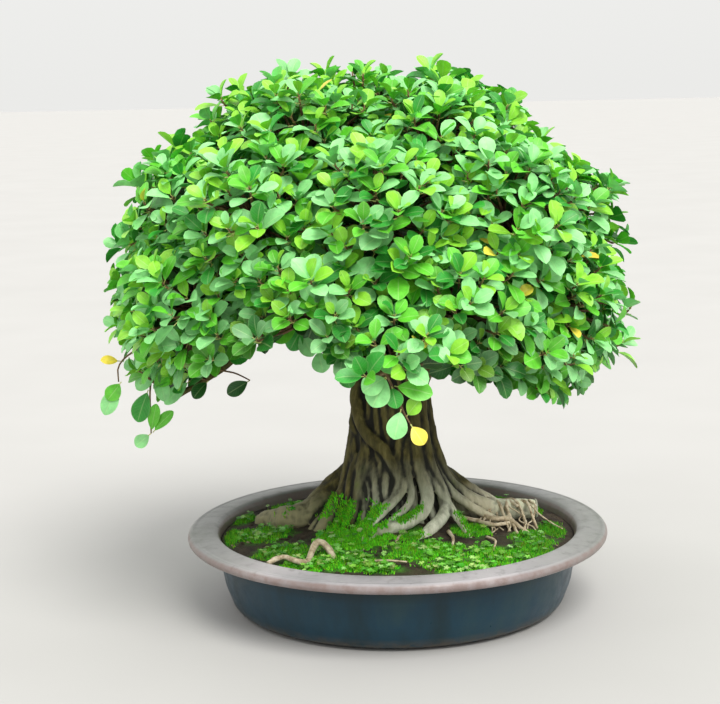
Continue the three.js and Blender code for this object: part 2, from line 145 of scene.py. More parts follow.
# Surface roots, of which the last is cut: points along each, and its radius at the trunk and at its end
ROOTS = [
    ([(-42, 42, 140), (-74, 36, 116), (-104, 14, 97), (-130, 16, 92), (-160, 50, 79)], 22, 12),
    ([(40, 32, 142), (80, 40, 114), (112, 62, 94), (138, 78, 78)], 18, 8),
    ([(-15, 75, 132), (-38, 108, 104), (-62, 144, 78)], 19, 8),
    ([(28, 70, 132), (52, 102, 104), (66, 134, 78)], 18, 8),
    ([(-45, 12, 140), (-70, -4, 108), (-92, -20, 80)], 14, 7),
    ([(60, 18, 112), (108, 28, 97), (162, 34, 95)], 15, 11),
]

# Strands on the trunk's front that run on into roots: points along each one, and its radius at both ends
FRONT_STRANDS = [
    ([(-34, 20, 262), (-42, 12, 240), (-41, 2, 221), (-36, -6, 205), (-25, -15, 191), (-11, -22, 178),
      (-1, -26, 160), (4, -31, 145), (-2, -36, 130), (-17, -42, 116), (-32, -50, 102), (-44, -58, 91),
      (-54, -68, 80)], 10, 4),
    ([(4, 2, 262), (6, -10, 225), (5, -18, 192), (2, -24, 172), (6, -28, 156), (9, -34, 144),
      (5, -38, 134), (-7, -44, 121), (-24, -52, 106), (-36, -62, 93), (-46, -78, 82)], 6, 3.5),
    ([(14, -8, 225), (14, -17, 191), (12, -24, 172), (14, -30, 151), (17, -36, 130), (11, -40, 118),
      (-3, -46, 107), (-16, -52, 98), (-26, -62, 88)], 6, 3.5),
    ([(20, 6, 262), (21, -8, 215), (22, -17, 182), (25, -22, 162), (32, -26, 142), (35, -32, 125),
      (29, -40, 112), (12, -48, 102), (-8, -52, 97), (-24, -56, 94), (-38, -64, 88),
      (-48, -80, 80)], 10, 6),
    ([(-26, -54, 94), (-32, -70, 90), (-38, -90, 84)], 6, 3),
    ([(28, 14, 262), (28, 0, 225), (30, -6, 206), (32, -9, 188), (36, -12, 168), (43, -12, 148),
      (52, -12, 128), (56, -18, 112), (50, -32, 102), (38, -46, 94), (28, -60, 85), (22, -72, 78)], 9, 7),
    ([(27, -14, 178), (31, -20, 159), (42, -20, 140), (57, -18, 119), (67, -26, 104), (77, -40, 92),
      (84, -60, 81)], 5, 4.5),
    ([(27, 30, 262), (32, 22, 240), (35, 18, 216), (38, 15, 195), (42, 13, 177), (48, 10, 162),
      (54, 10, 144), (66, 12, 128), (84, 16, 113), (104, 22, 103), (120, 32, 96)], 9, 9),
    ([(36, 4, 180), (46, 0, 152), (60, -4, 130), (80, -2, 112), (100, 4, 98), (116, 6, 88)], 6, 5),
    ([(-31, 30, 262), (-38, 22, 235), (-41, 17, 212), (-44, 13, 192), (-50, 12, 165), (-56, 10, 143),
      (-62, 6, 121), (-74, 4, 104), (-88, -4, 92), (-98, -12, 80)], 9, 8),
    ([(-38, 10, 223), (-46, 9, 213), (-47, 8, 204), (-41, 8, 193)], 5, 7),
    ([(-30, -4, 190), (-38, -8, 165), (-42, -14, 140), (-46, -18, 118), (-54, -28, 98),
      (-60, -40, 84)], 7, 6),
    ([(-22, -8, 180), (-24, -18, 155), (-22, -26, 132), (-24, -32, 114), (-32, -40, 98),
      (-40, -52, 84)], 6, 5),
    ([(-12, -14, 176), (-10, -22, 158), (-12, -30, 138), (-10, -36, 120), (-14, -42, 106),
      (-22, -50, 90)], 5, 4),
    ([(-40, 0, 172), (-50, -4, 145), (-54, -10, 120), (-62, -18, 100), (-72, -28, 84)], 7, 6),
]

# Thin roots lying over the soil at the right, in front, and looping out of it at the left
FINE_ROOTS = [
    ([(-68, -128, 84), (-74, -118, 93), (-83, -112, 100), (-90, -118, 97), (-95, -138, 88), (-100, -147, 87),
      (-112, -142, 89), (-121, -134, 90), (-130, -140, 89), (-138, -148, 87)], 4.0, 2.6),
    ([(-119, -135, 89), (-127, -130, 89), (-136, -132, 87)], 2, 1.2),
    ([(112, 46, 104), (126, 22, 101), (131, -2, 92), (136, -36, 84)], 2.6, 1.8),
    ([(104, 50, 105), (118, 24, 106), (124, 4, 94), (128, -28, 85)], 2.2, 1.5),
    ([(120, 54, 100), (138, 30, 106), (146, 6, 94), (146, -22, 84)], 2.4, 1.5),
    ([(96, 10, 96), (112, -10, 95), (128, -6, 94), (140, -22, 88), (150, -34, 83)], 3.6, 2.2),
    ([(130, 50, 98), (150, 26, 106), (156, 2, 95), (160, -14, 84)], 2.0, 1.4),
    ([(74, -4, 96), (92, -10, 93), (110, -24, 92), (131, -8, 90)], 3.0, 2.0),
    ([(140, 12, 104), (128, 34, 106), (112, 20, 102), (100, 0, 94)], 1.8, 1.3),
    ([(-36, -66, 94), (-38, -78, 93), (-38, -84, 88), (-37, -100, 86)], 1.5, 0.9),
    ([(10, -52, 92), (2, -66, 91), (-4, -82, 86)], 2.2, 1.2),
    ([(58, -50, 92), (62, -70, 90), (60, -92, 86)], 2.4, 1.2),
    ([(-24, -144, 87), (-8, -149, 88.5), (10, -150, 87)], 1.3, 0.9),
    ([(100, -60, 88), (108, -84, 90), (104, -108, 86)], 1.6, 1.0),
]

# How many thin roots are tangled in front of the cut root
TANGLED_ROOTS = 12

# Patches of green on the soil: middle, size across and front to back, tufts of moss and little clover-like
# plants in each, and how bright they are
GREEN_PATCHES = [
    ((-50, -62), (48, 46), 8500, 40, 1.0),
    ((-60, -6), (30, 36), 3000, 8, 0.85),
    ((-72, -132), (58, 34), 2600, 100, 0.95),
    ((-24, -158), (36, 16), 700, 45, 0.95),
    ((30, -108), (48, 38), 2700, 70, 0.85),
    ((70, -160), (46, 24), 1200, 80, 0.95),
    ((106, -118), (40, 38), 1200, 55, 0.9),
    ((84, -36), (22, 28), 1300, 8, 0.75),
    ((16, -54), (18, 20), 900, 6, 0.75),
    ((-150, -22), (36, 36), 1500, 80, 0.6),
    ((-186, -20), (14, 36), 900, 0, 0.45),
    ((-122, 104), (32, 34), 1100, 14, 0.35),
    ((-182, 62), (16, 28), 800, 22, 0.55),
    ((118, 122), (32, 34), 1100, 18, 0.4),
    ((162, 78), (14, 22), 500, 16, 0.5),
    ((152, -52), (28, 34), 900, 16, 0.45),
    ((-40, 150), (30, 20), 600, 8, 0.35),
    ((40, 150), (34, 20), 600, 8, 0.35),
    ((150, -100), (30, 34), 900, 30, 0.45),
    ((-126, -92), (36, 26), 1100, 30, 0.4),
    ((178, -6), (16, 36), 700, 8, 0.3),
]

# Single sprigs that hang below the crown, in front of the trunk, at the left and under the front arch: the
# node of each, its place front to back, its stalk as (x, z), and its leaves as base, tip, width and tint
HANGING_SPRIGS = [
    ("spray_hanging", -262, [(-12, 318), (-7, 307), (-3, 298), (5, 279), (11, 266), (15, 259)], [
        ((-7, 307), (-22, 279), 25, "painted_sky_sheen"),
        ((-7, 307), (-31, 294), 22, "painted_sky_sheen"),
        ((-3, 298), (2, 277), 17, "deep"),
        ((0, 297), (37, 290), 21, "fresh"),
        ((6, 274), (-1, 246), 21, "painted_sky_sheen"),
        ((11, 266), (24, 284), 17, "young_backlit"),
        ((15, 259), (28, 240), 17, "yellow"),
    ]),
    ("spray_skirt_5", -60, [(-246, 306), (-254, 303), (-266, 280), (-270, 261), (-270, 236), (-270, 213)], [
        ((-270, 213), (-287, 200), 16, "painted_sky_sheen"),
        ((-270, 214), (-263, 246), 14, "fresh"),
        ((-268, 214), (-245, 238), 14, "fresh"),
        ((-272, 261), (-285, 226), 22, "deep"),
        ((-262, 286), (-284, 262), 18, "painted_sky_sheen"),
        ((-262, 284), (-252, 250), 17, "painted_sky_sheen"),
    ]),
    ("spray_middle_6", -70, [(-250, 318), (-284, 306), (-302, 290), (-303, 272)], [
        ((-303, 270), (-318, 238), 19, "painted_sky_sheen"),
        ((-300, 272), (-314, 254), 18, "fresh"),
        ((-300, 295), (-319, 299), 11, "yellow"),
    ]),
    ("spray_middle_6", -60, [(-220, 310), (-226, 296), (-222, 276), (-205, 270)], [
        ((-231, 292), (-262, 268), 20, "fresh"),
        ((-226, 270), (-254, 246), 16, "painted_sky_sheen"),
        ((-205, 270), (-222, 252), 17, "shaded"),
    ]),
    ("spray_middle_6", -52, [(-205, 300), (-196, 282), (-176, 276), (-160, 268)], [
        ((-160, 268), (-185, 254), 17, "shaded"),
    ]),
    ("spray_middle_7", -150, [(-76, 366), (-88, 348), (-84, 328), (-79, 316)], [
        ((-97, 338), (-84, 312), 22, "painted_sky_sheen"),
        ((-79, 318), (-74, 294), 20, "painted_sky_sheen"),
        ((-94, 342), (-108, 318), 20, "deep"),
        ((-98, 346), (-124, 328), 20, "fresh"),
        ((-80, 352), (-90, 326), 20, "shaded"),
    ]),
    ("spray_middle_7", -158, [(-56, 364), (-66, 344), (-58, 320), (-52, 302)], [
        ((-62, 330), (-54, 304), 22, "fresh"),
        ((-52, 303), (-46, 279), 19, "deep"),
        ((-67, 346), (-62, 319), 21, "deep"),
        ((-60, 350), (-40, 330), 20, "painted_sky_sheen"),
        ((-70, 352), (-78, 336), 20, "deep"),
    ]),
]

# Shoots that stand out of the crown's outline: where the tip of each one's leaves is
SHOOTS = [
    (-193, 0, 592), (-172, 30, 598), (-212, 30, 566), (-150, -20, 588), (-132, 40, 594),
    (-107, 0, 613), (-76, 20, 614), (42, 0, 616), (60, -20, 607), (139, 0, 576),
    (137, -20, 556), (168, 10, 537), (216, 0, 501), (253, 0, 478), (269, 10, 412),
    (276, 0, 350), (268, -10, 309), (-318, 0, 422), (-291, 0, 498), (-268, 10, 522),
    (-239, 0, 540), (-326, 0, 330),
]

# Limbs: how many steps each is drawn in, the height above which they are a piece of their own, and points
# along each one from the fork to its end inside the crown, with its radius at both
LIMB_STEPS = 30
LIMB_JOINT = 280
LIMBS = [
    ([(-4, 30, 225), (-12, 26, 330), (-34, 16, 470)], 30, 8),
    ([(-12, 30, 232), (-62, 20, 300), (-160, 8, 345)], 23, 7),
    ([(6, 30, 232), (52, 20, 300), (118, 10, 352)], 23, 7),
    ([(-4, 22, 232), (-22, -24, 312), (-36, -112, 376)], 21, 7),
    ([(-4, 40, 232), (-16, 80, 312), (-34, 136, 376)], 21, 7),
]


def random_source(seed):
    """Random numbers from 0 to 1, by the same rule as in the part's source."""
    state = seed

    def draw():
        nonlocal state
        state = (state * 1664525 + 1013904223) & 0xFFFFFFFF
        return state / 4294967296

    return draw


def interpolate(pairs, value):
    """Straight-line interpolation in a list of (input, output) pairs."""
    return float(np.interp(value, [p[0] for p in pairs], [p[1] for p in pairs]))


def clamp(value):
    return min(1, max(0, value))


def part_turn(number, count):
    """The angle of one of a count of even steps round a circle."""
    return 2 * math.pi * number / count


def circle(radius, height, sides):
    """Points on a level circle round the Z axis."""
    angles = [part_turn(k, sides) for k in range(sides)]
    return [(radius * math.cos(angle), radius * math.sin(angle), height) for angle in angles]


def square_pair(axis):
    """Two directions square to an axis and to each other."""
    side = axis.orthogonal().normalized()
    return side, axis.cross(side)


def around(angle, side, other):
    """The direction at an angle from side towards other."""
    return math.cos(angle) * side + math.sin(angle) * other


def square_to(direction, along):
    """The direction, turned square to another one."""
    return (direction - direction.dot(along) * along).normalized()


def jitter(draw):
    """A random vector of up to half a unit along each axis."""
    return Vector((draw() - 0.5, draw() - 0.5, draw() - 0.5))


def soil_height(x, y):
    return SOIL_EDGE_HEIGHT + SOIL_DOME * (1 - (x * x + y * y) / SOIL_EDGE_RADIUS**2)


def smooth_path(points, steps):
    """Points spaced evenly along a smooth curve through the given points."""
    given = [Vector(p) for p in points]
    padded = [2 * given[0] - given[1], *given, 2 * given[-1] - given[-2]]
    path = []
    for i in range(1, len(padded) - 2):
        a, b, c, d = padded[i - 1 : i + 3]
        square = 2 * a - 5 * b + 4 * c - d
        cube = 3 * b - a - 3 * c + d
        for k in range(8):
            t = k / 8
            path.append(0.5 * (2 * b + (c - a) * t + square * t * t + cube * t**3))
    path.append(given[-1])
    lengths = np.cumsum([0] + [(q - p).length for p, q in zip(path, path[1:])])
    wanted = np.linspace(0, lengths[-1], steps + 1)
    columns = [np.interp(wanted, lengths, [p[axis] for p in path]) for axis in range(3)]
    return [Vector(p) for p in zip(*columns)]


class Shape:
    """Vertices and faces of a mesh in the making, with colours and texture places where they are given."""

    def __init__(self):
        self.vertices = []
        self.faces = []
        self.colours = []
        self.uvs = []

    def add(self, vertices, faces, colours=None, uvs=None):
        start = len(self.vertices)
        self.vertices.extend(tuple(v) for v in vertices)
        self.faces.extend(tuple(start + i for i in face) for face in faces)
        if colours is not None:
            self.colours.extend(tuple(c) for c in colours)
        if uvs is not None:
            self.uvs.extend(tuple(uv) for uv in uvs)

    def loft(self, rings):
        """A closed body through rings of points."""
        sides = len(rings[0])
        starts = range(0, sides * len(rings), sides)
        faces = []
        for low, high in zip(starts, starts[1:]):
            for k in range(sides):
                after = (k + 1) % sides
                faces.append((low + k, low + after, high + after, high + k))
        faces.append(tuple(reversed(range(sides))))
        faces.append(tuple(starts[-1] + k for k in range(sides)))
        self.add([point for ring in rings for point in ring], faces)

    def tube(self, path, radii, sides, wobble=0.0, seed=0):
        """A closed tube through points, with a radius at each of them."""
        rings = []
        normal = (path[1] - path[0]).orthogonal().normalized()
        for i, point in enumerate(path):
            tangent = (path[min(i + 1, len(path) - 1)] - path[max(i - 1, 0)]).normalized()
            normal = square_to(normal, tangent)
            other = tangent.cross(normal)
            ring = []
            for k in range(sides):
                angle = part_turn(k, sides)
                place = Vector((seed + 3 * math.cos(angle), 3 * math.sin(angle), 0.35 * i))
                reach = float(radii[i]) * (1 + wobble * noise.noise(place))
                ring.append(point + reach * around(angle, normal, other))
            rings.append(ring)
        self.loft(rings)

    def branch(self, points, start, end, steps, sides, wobble, seed):
        """A tube along a smooth curve through points, whose radius goes evenly from start to end."""
        self.tube(smooth_path(points, steps), np.linspace(start, end, steps + 1), sides, wobble, seed)

    def make(self, name, material, smooth=True, crease=None):
        """The shape as a Blender object, in metres, sharp where faces meet at more than the crease angle."""
        mesh = bpy.data.meshes.new(name)
        mesh.from_pydata([(x * MM, y * MM, z * MM) for x, y, z in self.vertices], [], self.faces)
        if self.colours:
            layer = mesh.color_attributes.new("tint", "FLOAT_COLOR", "POINT")
            values = np.ones((len(self.vertices), 4), np.float32)
            values[:, :3] = self.colours
            layer.data.foreach_set("color", values.ravel())
        if self.uvs:
            layer = mesh.uv_layers.new(name="across")
            corners = np.zeros(len(mesh.loops), np.int32)
            mesh.loops.foreach_get("vertex_index", corners)
            layer.data.foreach_set("uv", np.array(self.uvs, np.float32)[corners].ravel())
        mesh.validate()
        mesh.update()
        made = bpy.data.objects.new(name, mesh)
        bpy.context.scene.collection.objects.link(made)
        mesh.materials.append(material)
        if smooth:
            mesh.shade_smooth()
        if crease:
            mesh.set_sharp_from_angle(angle=math.radians(crease))
        return made


def attach(piece, slot, *nodes):
    """Makes a piece part of the object, in place of the CAD nodes."""
    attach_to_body(piece, "root")
    if nodes:
        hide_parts(*nodes)
    return piece


# Materials


class Nodes:
    """Short calls for building one material's node tree."""

    def __init__(self, name):
        self.material = bpy.data.materials.new(name)
        self.material.use_nodes = True
        self.tree = self.material.node_tree
        self.surface = self.tree.nodes["Principled BSDF"]

    def add(self, kind, **settings):
        node = self.tree.nodes.new(kind)
        for key, value in settings.items():
            setattr(node, key, value)
        return node

    def link(self, source, target):
        self.tree.links.new(source, target)

    def position(self):
        """A point's place on the object, in metres."""
        return self.add("ShaderNodeTexCoord").outputs["Object"]

    def stretched(self, scale):
        """The place on the object, scaled by a factor along each axis."""
        mapping = self.add("ShaderNodeMapping")
        mapping.inputs["Scale"].default_value = scale
        self.link(self.position(), mapping.inputs["Vector"])
        return mapping.outputs["Vector"]

    def noise(self, scale, detail=4.0, roughness=0.55, vector=None):
        node = self.add("ShaderNodeTexNoise")
        node.inputs["Scale"].default_value = scale
        node.inputs["Detail"].default_value = detail
        node.inputs["Roughness"].default_value = roughness
        self.link(vector or self.position(), node.inputs["Vector"])
        return node.outputs["Fac"]

    def ramp(self, value, stops):
        """A colour for a number: stops are (place, colour) pairs."""
        node = self.add("ShaderNodeValToRGB")
        while len(node.color_ramp.elements) < len(stops):
            node.color_ramp.elements.new(0.5)
        for element, (place, colour) in zip(node.color_ramp.elements, stops):
            element.position = place
            element.color = (*colour, 1)
        self.link(value, node.inputs["Fac"])
        return node.outputs["Color"]

    def mix(self, share, a, b, blend="MIX"):
        node = self.add("ShaderNodeMix", data_type="RGBA", blend_type=blend)
        for key, value in (("Factor", share), ("A", a), ("B", b)):
            socket = [s for s in node.inputs if s.name == key and s.enabled][0]
            if isinstance(value, bpy.types.NodeSocket):
                self.link(value, socket)
            elif key == "Factor":
                socket.default_value = value
            else:
                socket.default_value = (*value, 1)
        return [s for s in node.outputs if s.enabled][0]

    def math(self, operation, a, b=0.0, clamp=False):
        node = self.add("ShaderNodeMath", operation=operation, use_clamp=clamp)
        for socket, value in zip(node.inputs, (a, b)):
            if isinstance(value, bpy.types.NodeSocket):
                self.link(value, socket)
            else:
                socket.default_value = value
        return node.outputs[0]

    def times(self, a, b):
        return self.math("MULTIPLY", a, b)

    def range(self, value, low, high):
        """0 to 1 as the value goes from low to high."""
        node = self.add("ShaderNodeMapRange")
        node.inputs["From Min"].default_value = low
        node.inputs["From Max"].default_value = high
        self.link(value, node.inputs["Value"])
        return node.outputs["Result"]

    def axis(self, name):
        node = self.add("ShaderNodeSeparateXYZ")
        self.link(self.position(), node.inputs["Vector"])
        return node.outputs[name]

    def attribute(self, name, output="Color"):
        return self.add("ShaderNodeAttribute", attribute_name=name).outputs[output]

    def bump(self, height, strength, distance):
        node = self.add("ShaderNodeBump")
        node.inputs["Strength"].default_value = strength
        node.inputs["Distance"].default_value = distance
        self.link(height, node.inputs["Height"])
        self.link(node.outputs["Normal"], self.surface.inputs["Normal"])

    def set(self, name, value):
        socket = self.surface.inputs[name]
        if isinstance(value, bpy.types.NodeSocket):
            self.link(value, socket)
        elif name == "Base Color":
            socket.default_value = (*value, 1)
        else:
            socket.default_value = value

    def finish(self, colour, roughness, height, strength, distance):
        """Sets the surface's colour, roughness and bump, and gives the material."""
        self.set("Base Color", colour)
        self.set("Roughness", roughness)
        self.bump(height, strength, distance)
        return self.material


def glaze_material():
    """Satin dark teal glaze with painted shade under the rim, and a rim painted light grey as lit from above,
    with painted greenish shade except in front and a painted brownish reflection on its lip.
    """
    m = Nodes("pot_glaze")
    blotch = m.noise(9, 5)
    streak = m.noise(16, 5, 0.6, m.stretched((1, 1, 0.25)))
    fine = m.noise(70, 6, 0.65)
    height = m.axis("Z")
    teal = [(0.3, (0.005, 0.022, 0.028)), (0.52, (0.005, 0.037, 0.062)), (0.75, (0.020, 0.054, 0.058))]
    body = m.ramp(streak, teal)
    # Painted shade: the body darkens almost to black just under the rim, where the rim shades it.
    body = m.mix(m.times(m.range(height, 0.056, 0.074), 0.8), body, (0.006, 0.010, 0.006))
    foot = m.times(m.range(height, 0.016, 0.001), m.range(fine, 0.35, 0.6))
    body = m.mix(foot, body, (0.10, 0.075, 0.045))
    # Painted light: the rim is the body's teal glaze painted light grey as lit from above, with fine darker
    # flecks.
    grey = [(0.3, (0.25, 0.25, 0.26)), (0.5, (0.38, 0.365, 0.38)), (0.72, (0.48, 0.455, 0.47))]
    rim = m.ramp(blotch, grey)
    rim = m.mix(m.range(fine, 0.54, 0.8), rim, (0.20, 0.19, 0.19))
    across = m.axis("X")
    # Painted shade: greenish grey blotches darken the rim at the back and at both sides, leaving only the
    # front lit.
    painted_rim_shade = m.math("MAXIMUM", m.range(m.axis("Y"), -0.08, 0.08), m.range(across, -0.13, -0.22))
    painted_rim_shade = m.math("MAXIMUM", painted_rim_shade, m.range(across, 0.12, 0.23))
    painted_rim_shade = m.math("MULTIPLY", painted_rim_shade, m.range(blotch, 0.2, 0.55), clamp=True)
    rim = m.mix(m.times(painted_rim_shade, 0.8), rim, (0.135, 0.15, 0.125))
    # Painted reflection: a brownish band in blotches on the outer face of the rim's roll.
    painted_lip_reflection = m.times(m.range(height, 0.0885, 0.0865), m.range(fine, 0.0, 0.6))
    rim = m.mix(m.times(painted_lip_reflection, 0.85), rim, (0.21, 0.15, 0.135))
    m.set("Specular IOR Level", 0.35)
    colour = m.mix(m.range(height, 0.0765, 0.0785), body, rim)
    return m.finish(colour, m.range(fine, -0.3, 1.9), fine, 0.12, 0.002)


def soil_material():
    """Damp dark earth with lighter crumbs, and a green layer of algae and moss where the ground is green."""
    m = Nodes("soil")
    coarse = m.noise(45, 8, 0.7)
    patch = m.noise(14, 3)
    fine = m.noise(260, 8, 0.7)
    brown = [(0.3, (0.010, 0.007, 0.004)), (0.5, (0.035, 0.023, 0.013)), (0.72, (0.09, 0.065, 0.04))]
    earth = m.ramp(coarse, brown)
    earth = m.mix(m.range(patch, 0.54, 0.7), earth, (0.035, 0.045, 0.010))
    moss = m.ramp(fine, [(0.35, (0.015, 0.085, 0.003)), (0.6, (0.07, 0.30, 0.010))])
    green = m.math("MULTIPLY", m.attribute("tint", "Fac"), m.range(coarse, 0.25, 0.5), clamp=True)
    return m.finish(m.mix(green, earth, moss), 0.92, fine, 0.7, 0.003)


def bark_material():
    """Olive brown bark above, pale grey roots in front, with algae here and there, painted shade in the
    grooves and painted light on the ridges.
    """
    m = Nodes("bark")
    streak = m.noise(75, 8, 0.65, m.stretched((1.8, 1.8, 0.22)))
    patch = m.noise(20, 4)
    height = m.axis("Z")
    across = m.axis("X")
    olive = [(0.34, (0.028, 0.023, 0.005)), (0.5, (0.058, 0.049, 0.011)), (0.68, (0.12, 0.10, 0.030))]
    grey = [(0.3, (0.20, 0.205, 0.15)), (0.5, (0.34, 0.35, 0.27)), (0.72, (0.48, 0.48, 0.40))]
    old = m.ramp(streak, olive)
    pale = m.ramp(streak, grey)
    low = m.range(m.math("ADD", height, m.times(patch, -0.06)), 0.140, 0.075)
    low = m.times(low, m.range(m.axis("Y"), 0.030, -0.025))
    low = m.times(low, m.range(across, -0.052, -0.022))
    bark = m.mix(low, old, pale)
    left = m.times(m.range(height, 0.128, 0.112), m.range(across, -0.060, -0.085))
    bark = m.mix(left, bark, m.mix(0.6, old, (0.23, 0.22, 0.13)))
    tan = m.times(m.range(height, 0.130, 0.112), m.range(across, 0.060, 0.085))
    bark = m.mix(tan, bark, m.mix(0.5, pale, (0.30, 0.25, 0.15)))
    stub = m.times(m.range(height, 0.116, 0.108), m.range(across, 0.108, 0.120))
    bark = m.mix(m.times(stub, 0.7), bark, (0.46, 0.48, 0.36))
    bark = m.mix(m.range(patch, 0.60, 0.74), bark, (0.10, 0.115, 0.035))
    # Painted shade and light: grooves are darkened and ridges lightened by how deep each point lies among its
    # neighbours.
    ridge = m.times(m.range(m.attribute("groove", "Fac"), 0.78, 0.2), 1.6)
    colour = m.mix(1.0, bark, m.math("ADD", ridge, 0.12), "MULTIPLY")
    return m.finish(colour, 0.8, m.noise(170, 8, 0.7, m.stretched((1.5, 1.5, 0.35))), 0.45, 0.0015)


def pale_root_material():
    """Cream-coloured thin roots with brown joints."""
    m = Nodes("pale_root")
    streak = m.noise(130, 6, 0.6)
    cream = [(0.32, (0.24, 0.17, 0.09)), (0.5, (0.55, 0.46, 0.31)), (0.7, (0.78, 0.70, 0.54))]
    return m.finish(m.ramp(streak, cream), 0.75, streak, 0.4, 0.001)


def tinted_material(name, roughness, grain, depth):
    """A surface whose colour is the mesh's own tint, varied by fine noise."""
    m = Nodes(name)
    fine = m.noise(grain, 6, 0.6)
    shade = m.ramp(fine, [(0.3, (0.6,) * 3), (0.7, (1.2,) * 3)])
    return m.finish(m.mix(1.0, m.attribute("tint"), shade, "MULTIPLY"), roughness, fine, 0.4, depth)


def twig_material():
    """Red-brown twigs with paler, corky streaks."""
    m = Nodes("twig")
    fine = m.noise(120, 6, 0.6)
    red_brown = [(0.3, (0.07, 0.035, 0.014)), (0.55, (0.19, 0.11, 0.05)), (0.75, (0.36, 0.26, 0.12))]
    return m.finish(m.ramp(fine, red_brown), 0.75, fine, 0.5, 0.001)


def leaf_material():
    """Glossy leaf with a paler midrib, faint side veins, and a painted highlight along its margin."""
    m = Nodes("leaf")
    uv = m.add("ShaderNodeUVMap", uv_map="across").outputs["UV"]
    parts = m.add("ShaderNodeSeparateXYZ")
    m.link(uv, parts.inputs["Vector"])
    along = parts.outputs["X"]
    side = m.times(m.math("ABSOLUTE", m.math("SUBTRACT", parts.outputs["Y"], 0.5)), 2.0)
    midrib = m.range(side, 0.10, 0.02)
    # Painted highlight: a paler band along the margin stands in for the glint on the leaf's edge.
    margin = m.range(side, 0.84, 1.0)
    vein_place = m.math("SUBTRACT", m.times(along, 8.0), m.times(side, 2.2))
    vein = m.range(m.math("SINE", m.times(vein_place, 2 * math.pi)), 0.8, 1.0)
    tint = m.attribute("tint")
    mottle = m.ramp(m.noise(110, 4), [(0.3, (0.80,) * 3), (0.7, (1.16,) * 3)])
    mottled = m.mix(1.0, tint, mottle, "MULTIPLY")
    light = m.mix(0.4, mottled, (0.66, 0.90, 0.40))
    marks = m.times(vein, 0.16)
    marks = m.math("MAXIMUM", marks, m.times(midrib, 0.55))
    marks = m.math("MAXIMUM", marks, m.times(margin, 0.35))
    m.set("Specular IOR Level", 0.45)
    height = m.math("ADD", m.times(midrib, -1.0), m.times(vein, -0.3))
    return m.finish(m.mix(marks, mottled, light), 0.4, height, 0.3, 0.0005)


# Pot


def lathe(profile, sides):
    """A profile of (radius, height) points turned round the Z axis; its ends lie on the axis."""
    shape = Shape()
    vertices = [(0, 0, profile[0][1])]
    for radius, height in profile[1:-1]:
        vertices.extend(circle(radius, height, sides))
    vertices.append((0, 0, profile[-1][1]))
    last = len(vertices) - 1
    faces = []
    for k in range(sides):
        after = (k + 1) % sides
        faces.append((0, 1 + after, 1 + k))
        for ring in range(len(profile) - 3):
            a = 1 + ring * sides
            b = a + sides
            faces.append((a + k, a + after, b + after, b + k))
        start = 1 + (len(profile) - 3) * sides
        faces.append((start + k, start + after, last))
    shape.add(vertices, faces)
    return shape


def rounded(profile, size):
    """The profile with each of its corners turned into a short curve."""
    points = [profile[0]]
    for before, corner, after in zip(profile, profile[1:], profile[2:]):
        corner_v = Vector(corner)
        back = Vector(before) - corner_v
        on = Vector(after) - corner_v
        reach = min(size, 0.45 * back.length, 0.45 * on.length)
        start = corner_v + reach * back.normalized()
        end = corner_v + reach * on.normalized()
        for t in (0, 0.5, 1):
            point = (1 - t) ** 2 * start + 2 * t * (1 - t) * corner_v + t * t * end
            points.append((point.x, point.y))
    points.append(profile[-1])
    return points


def apply_modifiers(piece):
    """Keeps what the modifiers make as the piece's own mesh."""
    graph = bpy.context.evaluated_depsgraph_get()
    mesh = bpy.data.meshes.new_from_object(piece.evaluated_get(graph))
    piece.modifiers.clear()
    piece.data = mesh


def make_pot():
    profile = [
        (0, 0),
        (FOOT_RADIUS, 0),
        (190, 6),
        (BODY_LOW_RADIUS, BODY_LOW_HEIGHT),
        (BODY_TOP_RADIUS - 1.5, RIM_UNDERSIDE - 6),
        (BODY_TOP_RADIUS, RIM_UNDERSIDE),
        (RIM_RADIUS - 3, RIM_UNDERSIDE + 1),
        (RIM_RADIUS, RIM_UNDERSIDE + 4),
        (RIM_RADIUS, RIM_TOP - 5),
        (RIM_RADIUS - 4, RIM_TOP - 1),
        (RIM_RADIUS - 8, RIM_TOP - 1.8),
        (RIM_RADIUS - 11, RIM_TOP - 1.2),
        (MOUTH_RADIUS + 14, RIM_TOP),
        (MOUTH_RADIUS + 4, RIM_TOP - 0.5),
        (MOUTH_RADIUS, RIM_TOP - 5),
        (BODY_LOW_RADIUS - WALL_THICKNESS, BODY_LOW_HEIGHT - 4),
        (BODY_LOW_RADIUS - 5 * WALL_THICKNESS, FLOOR_THICKNESS),
        (0, FLOOR_THICKNESS),
    ]
    pot = lathe(rounded(profile, 4), POT_SIDES).make("pot_bowl", glaze_material())
    drains = Shape()
    for i in range(DRAIN_COUNT):
        angle = (i + 0.5) / DRAIN_COUNT * 2 * math.pi
        x = DRAIN_CIRCLE * math.cos(angle)
        y = DRAIN_CIRCLE * math.sin(angle)
        drains.tube([Vector((x, y, -20)), Vector((x, y, 20))], [DRAIN_RADIUS] * 2, 32)
    cutter = drains.make("drain_cutter", pot.data.materials[0])
    cut = pot.modifiers.new("drains", "BOOLEAN")
    cut.object = cutter
    cut.solver = "EXACT"
    apply_modifiers(pot)
    bpy.data.objects.remove(cutter)
    return attach(pot, "pot_glaze", "pot")


# Soil


def ground(x, y):
    """Height of the soil's uneven surface, which rises a little round the foot of the trunk."""
    place = Vector((x, y, 0))
    lumps = 1.6 * noise.noise(place / 26) + 0.9 * noise.noise(place / 9) + 0.5 * noise.noise(place / 3.4)
    edge = clamp((SOIL_EDGE_RADIUS - math.hypot(x, y)) / 12)
    foot = clamp((112 - math.hypot(x - TRUNK_X, y - TRUNK_Y)) / 40)
    return soil_height(x, y) + lumps * edge + 7 * foot * foot


